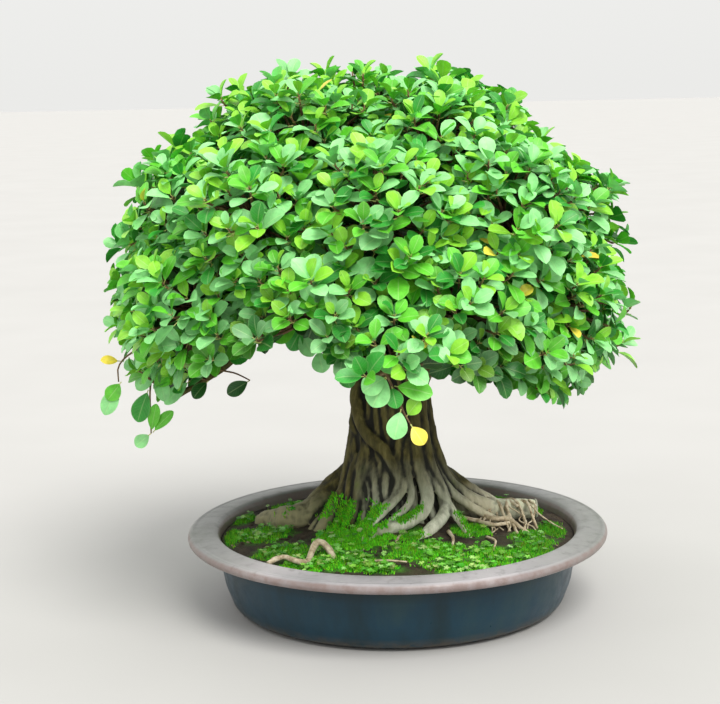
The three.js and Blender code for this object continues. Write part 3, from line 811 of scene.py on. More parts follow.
def greenness(x, y):
    """How green the ground is, from 0 on bare soil to 1 in the middle of a patch."""
    most = 0
    for (patch_x, patch_y), (wide, deep), _, _, bright in GREEN_PATCHES:
        away = math.hypot((x - patch_x) / wide, (y - patch_y) / deep)
        away += 0.3 * noise.noise(Vector((x, y, 5)) / 12)
        most = max(most, (0.4 + 0.6 * bright) * clamp((1.05 - away) / 0.3))
    return most


def make_soil():
    sides = SOIL_SIDES
    floor_height = FLOOR_THICKNESS + 0.6
    inside = BODY_LOW_RADIUS - WALL_THICKNESS - 1
    low_radius = BODY_LOW_RADIUS - 5 * WALL_THICKNESS - 1
    vertices = [(0, 0, ground(0, 0))]
    for ring in range(1, SOIL_RINGS + 1):
        edge = circle(SOIL_EDGE_RADIUS * ring / SOIL_RINGS, 0, sides)
        vertices.extend((x, y, ground(x, y)) for x, y, _ in edge)
    vertices.extend(circle(inside, BODY_LOW_HEIGHT - 4, sides))
    vertices.extend(circle(low_radius, floor_height, sides))
    vertices.append((0, 0, floor_height))
    last = len(vertices) - 1
    faces = []
    for k in range(sides):
        after = (k + 1) % sides
        faces.append((0, 1 + k, 1 + after))
        for ring in range(SOIL_RINGS + 1):
            a = 1 + ring * sides
            b = a + sides
            faces.append((a + k, b + k, b + after, a + after))
        start = 1 + (SOIL_RINGS + 1) * sides
        faces.append((start + k, last, start + after))
    shape = Shape()
    colours = [(greenness(x, y),) * 3 if z > 60 else (0, 0, 0) for x, y, z in vertices]
    shape.add(vertices, faces, colours)
    return attach(shape.make("soil_surface", soil_material()), "soil", "soil")


def make_crumbs():
    """Loose crumbs of earth, grit and bark on the soil."""
    draw = random_source(77)
    shape = Shape()
    for _ in range(CRUMB_COUNT):
        angle = 2 * math.pi * draw()
        radius = (SOIL_EDGE_RADIUS - 6) * math.sqrt(draw())
        x = radius * math.cos(angle)
        y = radius * math.sin(angle)
        size = 0.8 + 2.4 * draw() ** 3
        if math.hypot(x - TRUNK_X, y - TRUNK_Y) < 60:
            continue
        middle = Vector((x, y, ground(x, y) + 0.2 * size))
        axes = [Vector((draw() - 0.5, draw() - 0.5, 0.3 * (draw() - 0.5))).normalized()]
        axes.append(axes[0].cross(Vector((0, 0, 1))).normalized())
        axes.append(axes[0].cross(axes[1]))
        reach = [size * (1 + 0.8 * draw()), size * (0.6 + 0.4 * draw()), size * 0.6]
        tips = [middle + sign * reach[i] * axes[i] for i in range(3) for sign in (1, -1)]
        pale = draw()
        tint = (0.03 + 0.05 * pale, 0.02 + 0.035 * pale, 0.012 + 0.02 * pale)
        if pale > 0.93:
            tint = (0.30, 0.23, 0.15)
        faces = [(0, 2, 4), (2, 1, 4), (1, 3, 4), (3, 0, 4), (2, 0, 5), (1, 2, 5), (3, 1, 5), (0, 3, 5)]
        shape.add(tips, faces, [tint] * 6)
    crumbs = shape.make("soil_crumbs", tinted_material("crumb", 0.9, 300, 0.001), smooth=False)
    return attach(crumbs, "soil")


# Wood


def way_down(height):
    """How far down the trunk a height is: 0 at its top and 1 at its foot."""
    return (TRUNK_TOP - height) / (TRUNK_TOP - TRUNK_FOOT)


def trunk_point(angle, reach, height):
    """A point at an angle and reach from the trunk's axis, turned by the trunk's twist."""
    turn = angle + TRUNK_TWIST * way_down(height)
    return Vector((TRUNK_X + reach * math.cos(turn), TRUNK_Y + reach * math.sin(turn), height))


def add_strands(shape, draw):
    """The trunk's fused aerial roots: thick ones side by side, and fine ones that wander down over them."""
    heights = [262, 232, 198, 175, 155, 135, 116, 100, 84, 68]
    steps = 40
    even = np.linspace(0, 1, steps + 1)
    for i in range(STRAND_COUNT):
        angle = part_turn(i, STRAND_COUNT) + 0.25 * draw()
        lean = 0.5 * (draw() - 0.5)
        points = []
        radii = []
        for height in heights:
            reach = interpolate(STRAND_CIRCLE, height) + 4 * (draw() - 0.5)
            turned = angle + lean * way_down(height) + 0.08 * (draw() - 0.5)
            points.append(trunk_point(turned, reach, height))
            radii.append(interpolate(STRAND_RADIUS, height) * (0.85 + 0.3 * draw()))
        thickness = np.interp(even, np.linspace(0, 1, len(radii)), radii)
        shape.tube(smooth_path(points, steps), thickness, 12, 0.08, 10 * i)
    for i in range(FINE_STRAND_COUNT):
        angle = part_turn(i + draw(), FINE_STRAND_COUNT)
        lean = 0.9 * (draw() - 0.5)
        start = 0 if draw() < 0.5 else 2
        thickness = 1.8 + 2.6 * draw()
        points = []
        for height in heights[start:]:
            outside = interpolate(STRAND_CIRCLE, height) + interpolate(STRAND_RADIUS, height)
            reach = outside - 1.0 + 2 * draw()
            turned = angle + lean * way_down(height) + 0.1 * (draw() - 0.5)
            points.append(trunk_point(turned, reach, height))
        shape.branch(points, thickness, thickness, steps, 7, 0.1, 7 * i)
    core = [Vector((TRUNK_X, TRUNK_Y, h)) for h in (262, 198, 155, 116, 84, 68)]
    shape.tube(core, [26, 34, 41, 49, 57, 61], 20)


# How deep a groove counts as deep, in mm, by how many rounds of smoothing it is measured against
GROOVE_DEPTHS = {6: 0.5, 30: 2.2}


def mesh_array(elements, name, width, kind=np.float64):
    """One attribute of a mesh's vertices or edges as rows of numbers."""
    values = np.zeros(len(elements) * width, kind)
    elements.foreach_get(name, values)
    return values.reshape(-1, width)


def set_groove_attribute(piece):
    """Marks how deep each vertex lies among its neighbours: 0 on a ridge, 0.5 if flat and 1 in a groove."""
    mesh = piece.data
    places = mesh_array(mesh.vertices, "co", 3)
    normals = mesh_array(mesh.vertices, "normal", 3)
    a, b = mesh_array(mesh.edges, "vertices", 2, np.int32).T
    count = len(places)
    degree = np.bincount(a, minlength=count) + np.bincount(b, minlength=count)
    around = places.copy()
    groove = np.full(count, 0.5)
    for step in range(1, 31):
        total = np.zeros_like(around)
        for axis in range(3):
            total[:, axis] += np.bincount(a, around[b, axis], count)
            total[:, axis] += np.bincount(b, around[a, axis], count)
        around = total / np.maximum(degree, 1)[:, None]
        if step in GROOVE_DEPTHS:
            groove += 0.3 * ((around - places) * normals).sum(1) / (GROOVE_DEPTHS[step] * MM)
    values = np.clip(groove, 0, 1).astype(np.float32)
    mesh.attributes.new("groove", "FLOAT", "POINT").data.foreach_set("value", values)


def roughen(piece, size, depth, stretch=1.0):
    """Moves each vertex along its normal by smooth noise."""
    mesh = piece.data
    places = mesh_array(mesh.vertices, "co", 3)
    normals = mesh_array(mesh.vertices, "normal", 3)
    scaled = places * np.array((1, 1, stretch)) / (size * MM)
    lift = np.array([noise.fractal(Vector(p), 0.8, 2.0, 3) for p in scaled])
    mesh.vertices.foreach_set("co", (places + normals * (depth * MM * lift)[:, None]).ravel())
    mesh.update()


def remeshed(piece, size):
    change = piece.modifiers.new("one skin", "REMESH")
    change.mode = "VOXEL"
    change.voxel_size = size * MM
    relax = piece.modifiers.new("relax", "SMOOTH")
    relax.factor = 0.5
    relax.iterations = 2
    apply_modifiers(piece)
    piece.data.shade_smooth()


def make_trunk(bark):
    shape = Shape()
    add_strands(shape, random_source(11))
    for i, (points, start, end) in enumerate(ROOTS):
        shape.branch(points, start, end, 30, 14, 0.16, 20 * i)
    for i, (points, start, end) in enumerate(FRONT_STRANDS):
        shape.branch(points, start, end, 60, 12, 0.1, 13 * i)
    for points, start, end in LIMBS:
        path = smooth_path(points, LIMB_STEPS)
        keep = [p for p in path if p.z < LIMB_JOINT + 12]
        shape.tube(keep, np.linspace(start, end, LIMB_STEPS + 1)[: len(keep)], 16, 0.15, 5)
    trunk = shape.make("trunk_roots", bark)
    remeshed(trunk, REMESH_SIZE)
    roughen(trunk, 6, 0.45, 0.3)
    set_groove_attribute(trunk)
    return attach(trunk, "bark", "trunk_and_roots")


def make_cut_end():
    """The sawn end of the cut root, with its pale wood and growth rings."""
    m = Nodes("cut_wood")
    rings = m.add("ShaderNodeTexWave", wave_type="RINGS", rings_direction="X")
    rings.inputs["Scale"].default_value = 260
    rings.inputs["Distortion"].default_value = 3
    place = m.add("ShaderNodeMapping")
    place.inputs["Location"].default_value = (-0.164, -0.034, -0.095)
    m.link(m.position(), place.inputs["Vector"])
    m.link(place.outputs["Vector"], rings.inputs["Vector"])
    m.set("Base Color", m.ramp(rings.outputs["Fac"], [(0.2, (0.36, 0.36, 0.27)), (0.8, (0.58, 0.60, 0.50))]))
    m.set("Roughness", 0.8)
    middle = Vector((163, 34, 95))
    out = Vector((1, 0.12, -0.02)).normalized()
    sides = 28
    circles = []
    for reach, lift in ((11.2, -1.5), (11.0, 0.6), (9.5, 1.4), (5, 1.2), (1.5, 1.0)):
        points = []
        for k in range(sides):
            angle = part_turn(k, sides)
            bumpy = reach * (1 + 0.07 * noise.noise(Vector((2 * math.cos(angle), 2 * math.sin(angle), 3))))
            side = Vector((0, math.cos(angle), math.sin(angle)))
            points.append(middle + bumpy * side + lift * out)
        circles.append(points)
    shape = Shape()
    shape.loft(circles)
    return attach(shape.make("cut_root_end", m.material), "bark")


def make_fine_roots():
    shape = Shape()
    for i, (points, start, end) in enumerate(FINE_ROOTS):
        shape.branch(points, start, end, 24, 9, 0.3, 9 * i)
    draw = random_source(31)
    for i in range(TANGLED_ROOTS):
        x = 82 + 76 * draw()
        y = 26 + 16 * draw()
        points = [(x, y, 106)]
        for height in (102, 95, 90, 87, 84):
            x += 22 * (draw() - 0.4)
            y -= 8 + 8 * draw()
            points.append((x, y, height + 3 * draw()))
        shape.branch(points, 0.9 + 1.1 * draw(), 0.7, 24, 7, 0.3, 5 * i)
    return attach(shape.make("fine_roots", pale_root_material()), "bark")


def make_limbs(bark, sprays):
    """The limbs above the fork, and a branch from them to the heart of each spray."""
    shape = Shape()
    stations = []
    for points, start, end in LIMBS:
        path = smooth_path(points, LIMB_STEPS)
        radii = np.linspace(start, end, LIMB_STEPS + 1)
        low = next(i for i, p in enumerate(path) if p.z > LIMB_JOINT)
        shape.tube(path[low:], radii[low:], 14, 0.2, 5)
        stations.extend(path[i] for i in range(low + 2, LIMB_STEPS + 1, 4))
    for number, spray in enumerate(sprays):
        end = spray.heart
        start = min(stations, key=lambda p: (p - end).length + 0.6 * max(0, p.z - end.z))
        bend = end - 0.45 * (end - start).length * spray.axis
        middle = 0.35 * start + 0.4 * bend + 0.25 * end + Vector((0, 0, -4))
        shape.branch([start, middle, end], 5.5, 3.0, 16, 8, 0.2, 3 * number)
    return attach(shape.make("limbs", bark), "bark", "trunk_and_roots")


# Foliage


class Spray:
    def __init__(self, name, heart, radius, axis):
        self.name = name
        self.heart = Vector(heart)
        self.radius = radius
        self.axis = Vector(axis).normalized()


def place_sprays():
    """The sprays' hearts and axes, by the same rule as in the part's source."""
    draw = random_source(5)
    sprays = []
    for name, ring_height, ring_radius, tilt, count, turn, heart_radius in SPRAY_RINGS:
        for i in range(count):
            direction = math.radians(turn + 360 * i / count)
            tilt_angle = math.radians(tilt)
            radius = ring_radius + 12 * (draw() - 0.5)
            x = CROWN_X + radius * math.cos(direction)
            y = CROWN_Y + CROWN_DEPTH * radius * math.sin(direction)
            underside = underside_height(x, y)
            height = (ring_height or underside + SKIRT_RISE) + 12 * (draw() - 0.5)
            if not ring_height and underside > SKIRT_LIMIT:
                continue
            axis = (
                math.cos(tilt_angle) * math.cos(direction),
                math.cos(tilt_angle) * math.sin(direction),
                math.sin(tilt_angle),
            )
            full_name = f"{name}_{i + 1}" if count > 1 else name
            sprays.append(Spray(full_name, (x, y, height), heart_radius, axis))
    sprays.append(Spray("spray_hanging", HANGING_HEART, HANGING_RADIUS, HANGING_AXIS))
    return sprays


def underside_height(x, y):
    return interpolate(UNDERSIDE, math.degrees(math.atan2(y - CROWN_Y, x - CROWN_X)))


def half_width(along):
    """The leaf's half-width at a share of its length: widest past the middle, and blunt at the tip."""
    return (1 - (2 * along**1.357 - 1) ** 2) ** 0.65


def leaf_template(places):
    """One closed leaf as (along, side, half-width share, is the underside's midrib) rows, and its faces.

    The leaf is lens-shaped: its top and underside share the outline and part at the midrib.
    """
    stations = [(t, half_width(t)) for t in places]
    inner = len(stations)
    rows = [(0, 0, 0, 0)]
    for side in (-1, 1):
        rows += [(t, side, side * w, 0) for t, w in stations]
    rows.append((1, 0, 0, 0))
    tip = len(rows) - 1
    rows += [(t, 0, 0, 0) for t, _ in stations]
    rows += [(t, 0, 0, 1) for t, _ in stations]
    right = 1
    left = 1 + inner
    faces = []
    for middle, flip in ((tip + 1, False), (tip + 1 + inner, True)):
        half = [(0, right, middle), (0, middle, left)]
        for i in range(inner - 1):
            half.append((right + i, right + i + 1, middle + i + 1, middle + i))
            half.append((middle + i, middle + i + 1, left + i + 1, left + i))
        half.append((right + inner - 1, tip, middle + inner - 1))
        half.append((middle + inner - 1, tip, left + inner - 1))
        faces += [tuple(reversed(face)) for face in half] if flip else half
    return np.array(rows, float), faces


SINGLE_LEAF = leaf_template([0.03, 0.08, 0.16, 0.26, 0.38, 0.5, 0.62, 0.73, 0.83, 0.91, 0.96, 0.99])
FULL_LEAF = leaf_template([0.08, 0.28, 0.54, 0.78, 0.94])
SMALL_LEAF = leaf_template([0.2, 0.58, 0.88])
CLOVER_LEAF = leaf_template([0.28, 0.76])

TINTS = {
    # Pale mint: a painted reflection of the sky on glossy leaf tops.
    "painted_sky_sheen": (0.28, 0.72, 0.26),
    "fresh": (0.12, 0.55, 0.03),
    "deep": (0.03, 0.31, 0.03),
    "shaded": (0.012, 0.10, 0.012),
    # Yellow-green: young leaves' own colour, partly painted backlight shining through them.
    "young_backlit": (0.27, 0.68, 0.04),
    "yellow": (0.90, 0.72, 0.08),
}
PETIOLE = (0.50, 0.52, 0.16)


def add_leaf(shape, template, base, along, up, length, width, tint, fold, curl, thickness=LEAF_THICKNESS):
    """A leaf from its base in the direction along, facing up, folded at its midrib and curled at its tip."""
    grid, faces = template
    across = up.cross(along)
    t = grid[:, 0]
    half = grid[:, 2] * width / 2
    rise = fold * np.abs(half) - curl * length * t**2 + 0.05 * length * np.sin(math.pi * t)
    rise -= thickness * grid[:, 3]
    local = np.stack([t * length, half, rise], 1)
    points = local @ np.array([along, across, up]) + np.array(base)
    points += np.maximum(CROWN_LOW - points.min(0), 0) - np.maximum(points.max(0) - CROWN_HIGH, 0)
    uvs = np.stack([t, 0.5 + 0.5 * grid[:, 1]], 1)
    shape.add(points, faces, [tint] * len(grid), uvs)


def add_petiole(shape, start, end, radius, colour):
    """A three-sided stalk."""
    side, other = square_pair((end - start).normalized())
    vertices = []
    for point, share in ((start, 1.0), (end, 0.8)):
        vertices.extend(point + radius * share * around(part_turn(k, 3), side, other) for k in range(3))
    faces = [(k, (k + 1) % 3, 3 + (k + 1) % 3, 3 + k) for k in range(3)] + [(2, 1, 0), (3, 4, 5)]
    shape.add(vertices, faces, [colour] * 6, [(0.1, 0.9)] * 6)


def pick_tint(draw, sunny, leaning, shade):
    """A leaf's tint.

    Sunny is 1 at the top of the crown and 0 low down, leaning shifts a whole rosette's tints, and shade
    darkens them.
    """
    chance = draw() + 0.25 * leaning
    if draw() < 0.006:
        name = "yellow"
    elif chance < 0.04 + 0.14 * sunny:
        name = "young_backlit"
    elif chance < 0.48 + 0.14 * sunny:
        name = "painted_sky_sheen"
    elif chance < 0.84:
        name = "fresh"
    else:
        name = "deep"
    bright = shade * (0.80 + 0.40 * draw())
    return tuple(min(0.9, c * bright) for c in TINTS[name])


def add_rosette(shape, draw, tip, axis, light, count, size, sunny, shade, limited=True):
    """Leaves in a spiral at a twig's end: the older ones spread wide, the youngest stand in the middle."""
    side, other = square_pair(axis)
    phase = 2 * math.pi * draw()
    leaning = draw() - 0.5
    for i in range(count):
        age = 1 - i / count
        turn = phase + i * GOLDEN_ANGLE + 0.3 * (draw() - 0.5)
        spread = math.radians(24 + 56 * age + 16 * (draw() - 0.5))
        along = around(spread, axis, around(turn, side, other)).normalized()
        up = square_to(axis + 0.5 * light + 0.6 * jitter(draw), along)
        length = size * LEAF_LENGTH * (0.60 + 0.40 * age**0.6) * (0.86 + 0.28 * draw())
        width = length * LEAF_WIDTH / LEAF_LENGTH * (0.86 + 0.28 * draw())
        start = tip - axis * (13 * age**1.5)
        base = start + along * (2.5 + 2.5 * age)
        tint = pick_tint(draw, sunny, leaning, shade)
        if age < 0.3 and draw() < 0.5:
            tint = tuple(shade * c for c in TINTS["young_backlit"])
        if limited and outline_depth(base + 0.9 * length * along) < -4:
            continue
        add_petiole(shape, start, base + 1.5 * along, 0.6, PETIOLE)
        fold = 0.16 + 0.3 * draw()
        curl = 0.02 + 0.14 * draw()
        add_leaf(shape, FULL_LEAF, base, along, up, length, width, tint, fold, curl)


def directions_round(count):
    """Directions spread evenly over a sphere."""
    directions = []
    for i in range(count):
        z = 1 - 2 * (i + 0.5) / count
        flat = math.sqrt(1 - z * z)
        directions.append(Vector((flat * math.cos(i * GOLDEN_ANGLE), flat * math.sin(i * GOLDEN_ANGLE), z)))
    return directions


def outline_depth(point):
    """How far inside the crown's outline a point is, seen from the front, in mm; less than 0 outside it."""
    share = -CAMERA_PLACE[1] / (point.y - CAMERA_PLACE[1])
    x = CAMERA_PLACE[0] + share * (point.x - CAMERA_PLACE[0])
    z = CAMERA_PLACE[2] + share * (point.z - CAMERA_PLACE[2])
    nearest = math.inf
    inside = False
    for (ax, az), (bx, bz) in zip(CROWN_OUTLINE, CROWN_OUTLINE[1:] + CROWN_OUTLINE[:1]):
        along = ((x - ax) * (bx - ax) + (z - az) * (bz - az)) / ((bx - ax) ** 2 + (bz - az) ** 2)
        along = clamp(along)
        nearest = min(nearest, math.hypot(x - ax - along * (bx - ax), z - az - along * (bz - az)))
        if (az > z) != (bz > z) and x < ax + (z - az) / (bz - az) * (bx - ax):
            inside = not inside
    return nearest if inside else -nearest


def limit_to_box(point, margin):
    """The point, kept a margin inside the crown's box."""
    return Vector(min(max(c, a + margin), b - margin) for c, a, b in zip(point, CROWN_LOW, CROWN_HIGH))


def add_sprig(shape, twigs, away, stalk, leaves, draw):
    """A stalk with single leaves, drawn in a plane that faces the front."""
    path = smooth_path([(x, away + 4 * math.sin(0.05 * z), z) for x, z in stalk], 3 * len(stalk))
    twigs.tube(path, np.linspace(1.5, 0.8, len(path)), 5)
    for (base_x, base_z), (tip_x, tip_z), width, tint in leaves:
        base = Vector((base_x, away + 4 * math.sin(0.05 * base_z), base_z))
        tip = Vector((tip_x, away - 3 - 8 * draw(), tip_z))
        along = (tip - base).normalized()
        facing = Vector((0.5 * (draw() - 0.5), -1, 0.25 + 0.4 * draw()))
        up = square_to(facing, along)
        add_petiole(shape, base, base + 4 * along, 0.7, PETIOLE)
        length = (tip - base).length - 3
        add_leaf(shape, SINGLE_LEAF, base + 3 * along, along, up, length, width, TINTS[tint], 0.18, 0.06)


def daylight(point):
    """How bright a leaf is for its place: darker near the underside, most of all under the front arch."""
    underside = underside_height(point.x, point.y)
    low = 1 - clamp((point.z - underside) / 90)
    arch = clamp((underside - 250) / 45)
    return 1 - low * (0.2 + 0.6 * arch)


def add_outer_rosettes(shape, twigs, draw, spray, sprays, turn):
    """Rosettes spread over the outer side of a spray, each on a twig from its heart."""
    shell = spray.radius + SHELL_REACH
    crown_middle = Vector((CROWN_X, CROWN_Y, CROWN_MIDDLE))
    for direction in directions_round(int(4 * math.pi * shell**2 / ROSETTE_SPACING**2)):
        direction = (turn @ direction + 0.3 * jitter(draw)).normalized()
        tip = spray.heart + (shell + TIP_SPREAD * (draw() - 0.55)) * direction
        rise, leaves, size = draw(), draw(), draw()
        outward = (tip - crown_middle).normalized()
        if direction.dot(outward) < 0 or outline_depth(tip) < OUTLINE_MARGIN:
            continue
        if any(o is not spray and (tip - o.heart).length < o.radius + HEART_GAP for o in sprays):
            continue
        rising = 0.1 + 0.35 * clamp((tip.z - CROWN_MIDDLE) / 80) + 0.3 * rise
        axis = (0.45 * direction + 0.6 * outward + Vector((0, 0, rising))).normalized()
        light = (outward + Vector((0, 0, 0.5))).normalized()
        tip = limit_to_box(tip, BOX_MARGIN)
        sunny = clamp((tip.z - 300) / 280)
        shade = 1 if spray.name == "spray_hanging" else daylight(tip)
        add_rosette(shape, draw, tip, axis, light, 6 + int(4 * leaves), 0.9 + 0.24 * size, sunny, shade)
        sway = Vector((draw() - 0.5, draw() - 0.5, draw() - 0.9))
        bend = spray.heart + 0.5 * (tip - spray.heart) + 6 * sway
        twigs.tube([spray.heart + 0.15 * (tip - spray.heart), bend, tip - 6 * axis, tip], TWIG_RADII, 5)


def add_shoots(shape, twigs, draw, spray, sprays):
    """The shoots that stand out of the crown nearest to this spray."""
    for place in map(Vector, SHOOTS):
        if min(sprays, key=lambda other: (place - other.heart).length) is spray:
            axis = ((place - spray.heart).normalized() + Vector((0, 0, 0.5))).normalized()
            tip = limit_to_box(place - 0.6 * LEAF_LENGTH * axis, BOX_MARGIN)
            add_rosette(shape, draw, tip, axis, axis, 7, 1.05, 1.0, 1.0, limited=False)
            twigs.tube([spray.heart, 0.5 * (spray.heart + tip), tip - 6 * axis, tip], TWIG_RADII, 5)


def add_inner_leaves(shape, draw, spray, turn):
    """Dark leaves inside a spray, well within the crown's outline."""
    for direction in directions_round(INNER_LEAVES):
        direction = turn @ direction
        base = spray.heart + spray.radius * (0.2 + 0.65 * draw()) * direction
        along = (direction + jitter(draw)).normalized()
        side, other = square_pair(along)
        up = (side + 0.6 * other * (draw() - 0.5)).normalized()
        tint = tuple(c * (0.6 + 1.2 * draw()) for c in TINTS["shaded"])
        if outline_depth(base + 30 * along) > 14:
            add_leaf(shape, SMALL_LEAF, base, along, up, 32, 22, tint, 0.2, 0.06)


def make_spray(spray, sprays, material, twigs):
    draw = random_source(sum(ord(c) * (i + 3) for i, c in enumerate(spray.name)))
    turn = Matrix.Rotation(2 * math.pi * draw(), 3, "Z")
    shape = Shape()
    add_outer_rosettes(shape, twigs, draw, spray, sprays, turn)
    add_shoots(shape, twigs, draw, spray, sprays)
    add_inner_leaves(shape, draw, spray, turn)
    for node, away, stalk, leaves in HANGING_SPRIGS:
        if node == spray.name:
            add_sprig(shape, twigs, away, stalk, leaves, draw)
    return attach(shape.make(spray.name + "_leaves", material, crease=60), "leaves", spray.name)


def make_twigs(shape):
    return attach(shape.make("twigs", twig_material()), "bark")


# Plants on the soil

MOSS_TINTS = [(0.07, 0.46, 0.006), (0.13, 0.72, 0.01), (0.24, 0.86, 0.02), (0.26, 0.60, 0.015)]
CLOVER_TINTS = [(0.15, 0.50, 0.04), (0.26, 0.62, 0.09), (0.38, 0.70, 0.18), (0.09, 0.38, 0.03)]


def surface_finder(pieces):
    """A function that gives the highest point and its slope on the pieces below a point, in mm."""
    trees = []
    for piece in pieces:
        mesh = piece.data
        places = [1000 * v.co for v in mesh.vertices]
        trees.append(BVHTree.FromPolygons(places, [tuple(f.vertices) for f in mesh.polygons]))

    def find(x, y, top):
        hits = [tree.ray_cast(Vector((x, y, top)), Vector((0, 0, -1))) for tree in trees]
        hits = [(hit[0], hit[1]) for hit in hits if hit[0] is not None]
        return max(hits, key=lambda hit: hit[0].z) if hits else (None, None)

    return find


def patch_place(draw, middle, size):
    """A random place in an oval patch, how far out it is, and whether the patch's ragged edge takes it in."""
    angle = 2 * math.pi * draw()
    reach = math.sqrt(draw()) * (0.85 + 0.45 * draw())
    x = middle[0] + size[0] * reach * math.cos(angle)
    y = middle[1] + size[1] * reach * math.sin(angle)
    clumped = noise.noise(Vector((x, y, 3)) / 11) > 1.5 * (reach - 0.85)
    return x, y, reach, clumped


def add_moss(shape, draw, find, middle, size, count, bright):
    """Tufts of moss: thin upright blades that follow whatever they grow on."""
    for _ in range(count):
        x, y, reach, clumped = patch_place(draw, middle, size)
        lean = Vector((1.6 * (draw() - 0.5), 1.6 * (draw() - 0.5), 1)).normalized()
        height = (3.0 + 3.6 * draw()) * (1.15 - 0.5 * reach)
        shade = draw()
        if not clumped or math.hypot(x, y) > SOIL_EDGE_RADIUS - 4:
            continue
        foot, slope = find(x, y, 124)
        if foot is None or slope.z < 0.35:
            continue
        tint = MOSS_TINTS[int(3.99 * shade)]
        tint = tuple(c * (0.45 + 0.65 * bright) * (0.7 + 0.6 * draw()) for c in tint)
        axis = (lean + 0.5 * slope).normalized()
        side, other = square_pair(axis)
        width = 0.6 + 0.5 * draw()
        corners = [foot - 0.5 * axis + width * around(angle, side, other) for angle in (0, 2.1, 4.2)]
        shape.add([*corners, foot + height * axis], [(0, 1, 3), (1, 2, 3), (2, 0, 3), (2, 1, 0)], [tint] * 4)


def add_clover(shape, draw, find, middle, size, count, bright):
    """Little plants of five to seven round leaflets spread like a star on a short stalk."""
    for _ in range(count):
        x, y, _, clumped = patch_place(draw, middle, size)
        height = 2.5 + 5 * draw()
        leaflets = 5 + int(2.9 * draw())
        length = (2.6 + 2.6 * draw()) * (0.75 + 0.25 * bright)
        tint = CLOVER_TINTS[int(3.99 * draw())]
        tint = tuple(c * (0.42 + 0.6 * bright) * (0.8 + 0.4 * draw()) for c in tint)
        phase = 2 * math.pi * draw()
        axis = Vector((0.5 * (draw() - 0.5), -0.18 + 0.5 * (draw() - 0.5), 1)).normalized()
        if not clumped or math.hypot(x, y) > SOIL_EDGE_RADIUS - 7:
            continue
        foot, slope = find(x, y, 110)
        if foot is None or slope.z < 0.5:
            continue
        top = foot + height * axis
        add_petiole(shape, foot, top, 0.35, tuple(0.8 * c for c in tint))
        side, other = square_pair(axis)
        for i in range(leaflets):
            turn = phase + part_turn(i + 0.3 * draw(), leaflets)
            along = (around(turn, side, other) + (0.15 + 0.35 * draw()) * axis).normalized()
            up = square_to(axis, along)
            add_leaf(shape, CLOVER_LEAF, top, along, up, length, 0.6 * length, tint, 0.2, 0.15, 0.25)


def make_ground_cover(find):
    """The plants on the soil, in one piece for each patch."""
    moss_material = tinted_material("moss", 0.8, 500, 0.0004)
    clover_material = tinted_material("clover", 0.5, 260, 0.0003)
    nodes = {
        (-150, -22): "ground_cover_left",
        (-24, -158): "ground_cover_front_left",
        (70, -160): "ground_cover_front_right",
        (152, -52): "ground_cover_right",
        (118, 122): "ground_cover_back_right",
        (-122, 104): "ground_cover_back_left",
    }
    for number, (middle, size, moss_count, clover_count, bright) in enumerate(GREEN_PATCHES):
        draw = random_source(100 + number)
        moss = Shape()
        add_moss(moss, draw, find, middle, size, moss_count, bright)
        piece = attach(moss.make(f"moss_{number + 1}", moss_material, smooth=False), "ground_cover")
        if middle in nodes:
            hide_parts(nodes[middle])
        if clover_count:
            clover = Shape()
            add_clover(clover, draw, find, middle, size, clover_count, bright)
            attach(clover.make(f"clover_{number + 1}", clover_material, crease=60), "ground_cover")


# Floor, light and camera

CAMERA_PLACE = (0, -1833.9, 584.2)
CAMERA_PITCH = 9.12
CAMERA_YAW = -1.20
CAMERA_ROLL = -1.21
CAMERA_LENS = 81.9
KEY_DIRECTION = (0.45, -0.85, 1.25)
KEY_STRENGTH = 2.9
KEY_SOFTNESS = 35
HORIZON_STRENGTH = 0.84
ZENITH_STRENGTH = 1.15
FLOOR_REACH = 60000


def make_camera():
    """The camera stands where the photograph's did."""
    pitch = math.radians(CAMERA_PITCH)
    yaw = math.radians(CAMERA_YAW)
    roll = math.radians(CAMERA_ROLL)
    forward = Vector((math.sin(yaw) * math.cos(pitch), math.cos(yaw) * math.cos(pitch), -math.sin(pitch)))
    right = forward.cross(Vector((0, 0, 1))).normalized()
    up = right.cross(forward)
    turned_right = math.cos(roll) * right + math.sin(roll) * up
    turned_up = -math.sin(roll) * right + math.cos(roll) * up
    camera = bpy.data.cameras.new("camera")
    camera.lens = CAMERA_LENS
    camera.sensor_width = 36
    holder = bpy.data.objects.new("camera", camera)
    bpy.context.scene.collection.objects.link(holder)
    turn = Matrix((turned_right, turned_up, -forward)).transposed().to_4x4()
    holder.matrix_world = Matrix.Translation(Vector(CAMERA_PLACE) * MM) @ turn
    bpy.context.scene.camera = holder


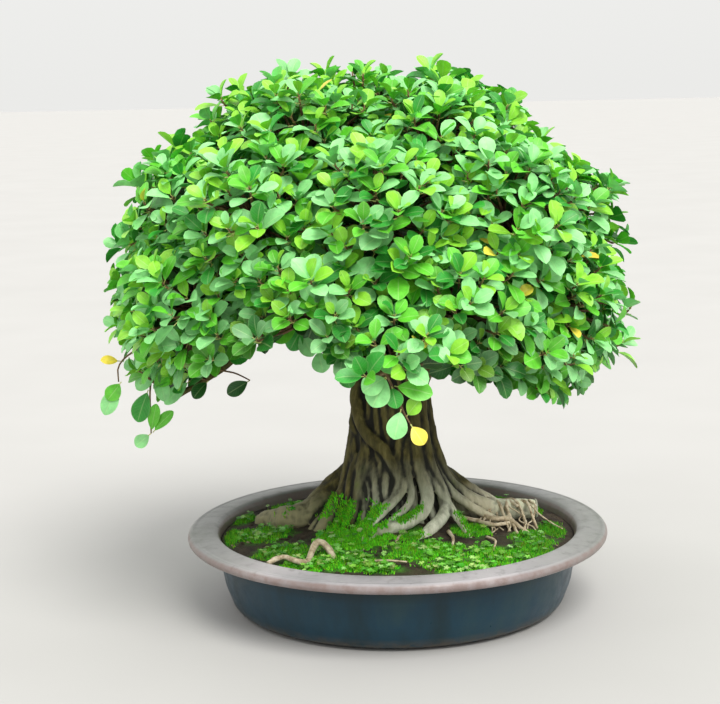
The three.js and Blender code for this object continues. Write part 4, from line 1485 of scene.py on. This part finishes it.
def make_floor():
    """A wide pale floor."""
    m = Nodes("floor")
    m.set("Base Color", m.ramp(m.noise(3, 2), [(0.3, (0.47, 0.465, 0.455)), (0.7, (0.49, 0.485, 0.475))]))
    m.set("Roughness", 0.8)
    corners = [(FLOOR_REACH * x, FLOOR_REACH * y, 0) for x, y in ((-1, -1), (1, -1), (1, 1), (-1, 1))]
    shape = Shape()
    shape.add(corners, [(0, 1, 2, 3)])
    shape.make("floor", m.material, smooth=False)


def make_lights():
    """Soft light from a pale sky that is brighter overhead, and a broad key light from the front right."""
    world = bpy.data.worlds.new("studio")
    world.use_nodes = True
    tree = world.node_tree
    place = tree.nodes.new("ShaderNodeTexCoord")
    parts = tree.nodes.new("ShaderNodeSeparateXYZ")
    tree.links.new(place.outputs["Generated"], parts.inputs["Vector"])
    height = tree.nodes.new("ShaderNodeMapRange")
    height.inputs["From Min"].default_value = 0.0
    height.inputs["From Max"].default_value = 0.9
    height.inputs["To Min"].default_value = HORIZON_STRENGTH
    height.inputs["To Max"].default_value = ZENITH_STRENGTH
    tree.links.new(parts.outputs["Z"], height.inputs["Value"])
    background = tree.nodes["Background"]
    background.inputs["Color"].default_value = (0.99, 0.99, 0.97, 1)
    tree.links.new(height.outputs["Result"], background.inputs["Strength"])
    bpy.context.scene.world = world
    key = bpy.data.lights.new("key", "SUN")
    key.energy = KEY_STRENGTH
    key.angle = math.radians(KEY_SOFTNESS)
    key.color = (1.0, 0.98, 0.94)
    holder = bpy.data.objects.new("key", key)
    bpy.context.scene.collection.objects.link(holder)
    holder.rotation_euler = Vector(KEY_DIRECTION).to_track_quat("Z", "Y").to_euler()


CROWN_LOW = 1000 * np.array(cad_bounds[0]) + 0.5
CROWN_HIGH = 1000 * np.array(cad_bounds[1]) - 0.5

bpy.context.scene.view_settings.view_transform = "Standard"
make_camera()
bark = bark_material()
leaf = leaf_material()
sprays = place_sprays()
make_pot()
soil = make_soil()
make_crumbs()
trunk = make_trunk(bark)
make_cut_end()
make_fine_roots()
make_limbs(bark, sprays)
make_ground_cover(surface_finder([soil, trunk]))
twig_shape = Shape()
for spray in sprays:
    make_spray(spray, sprays, leaf, twig_shape)
make_twigs(twig_shape)
make_floor()
make_lights()
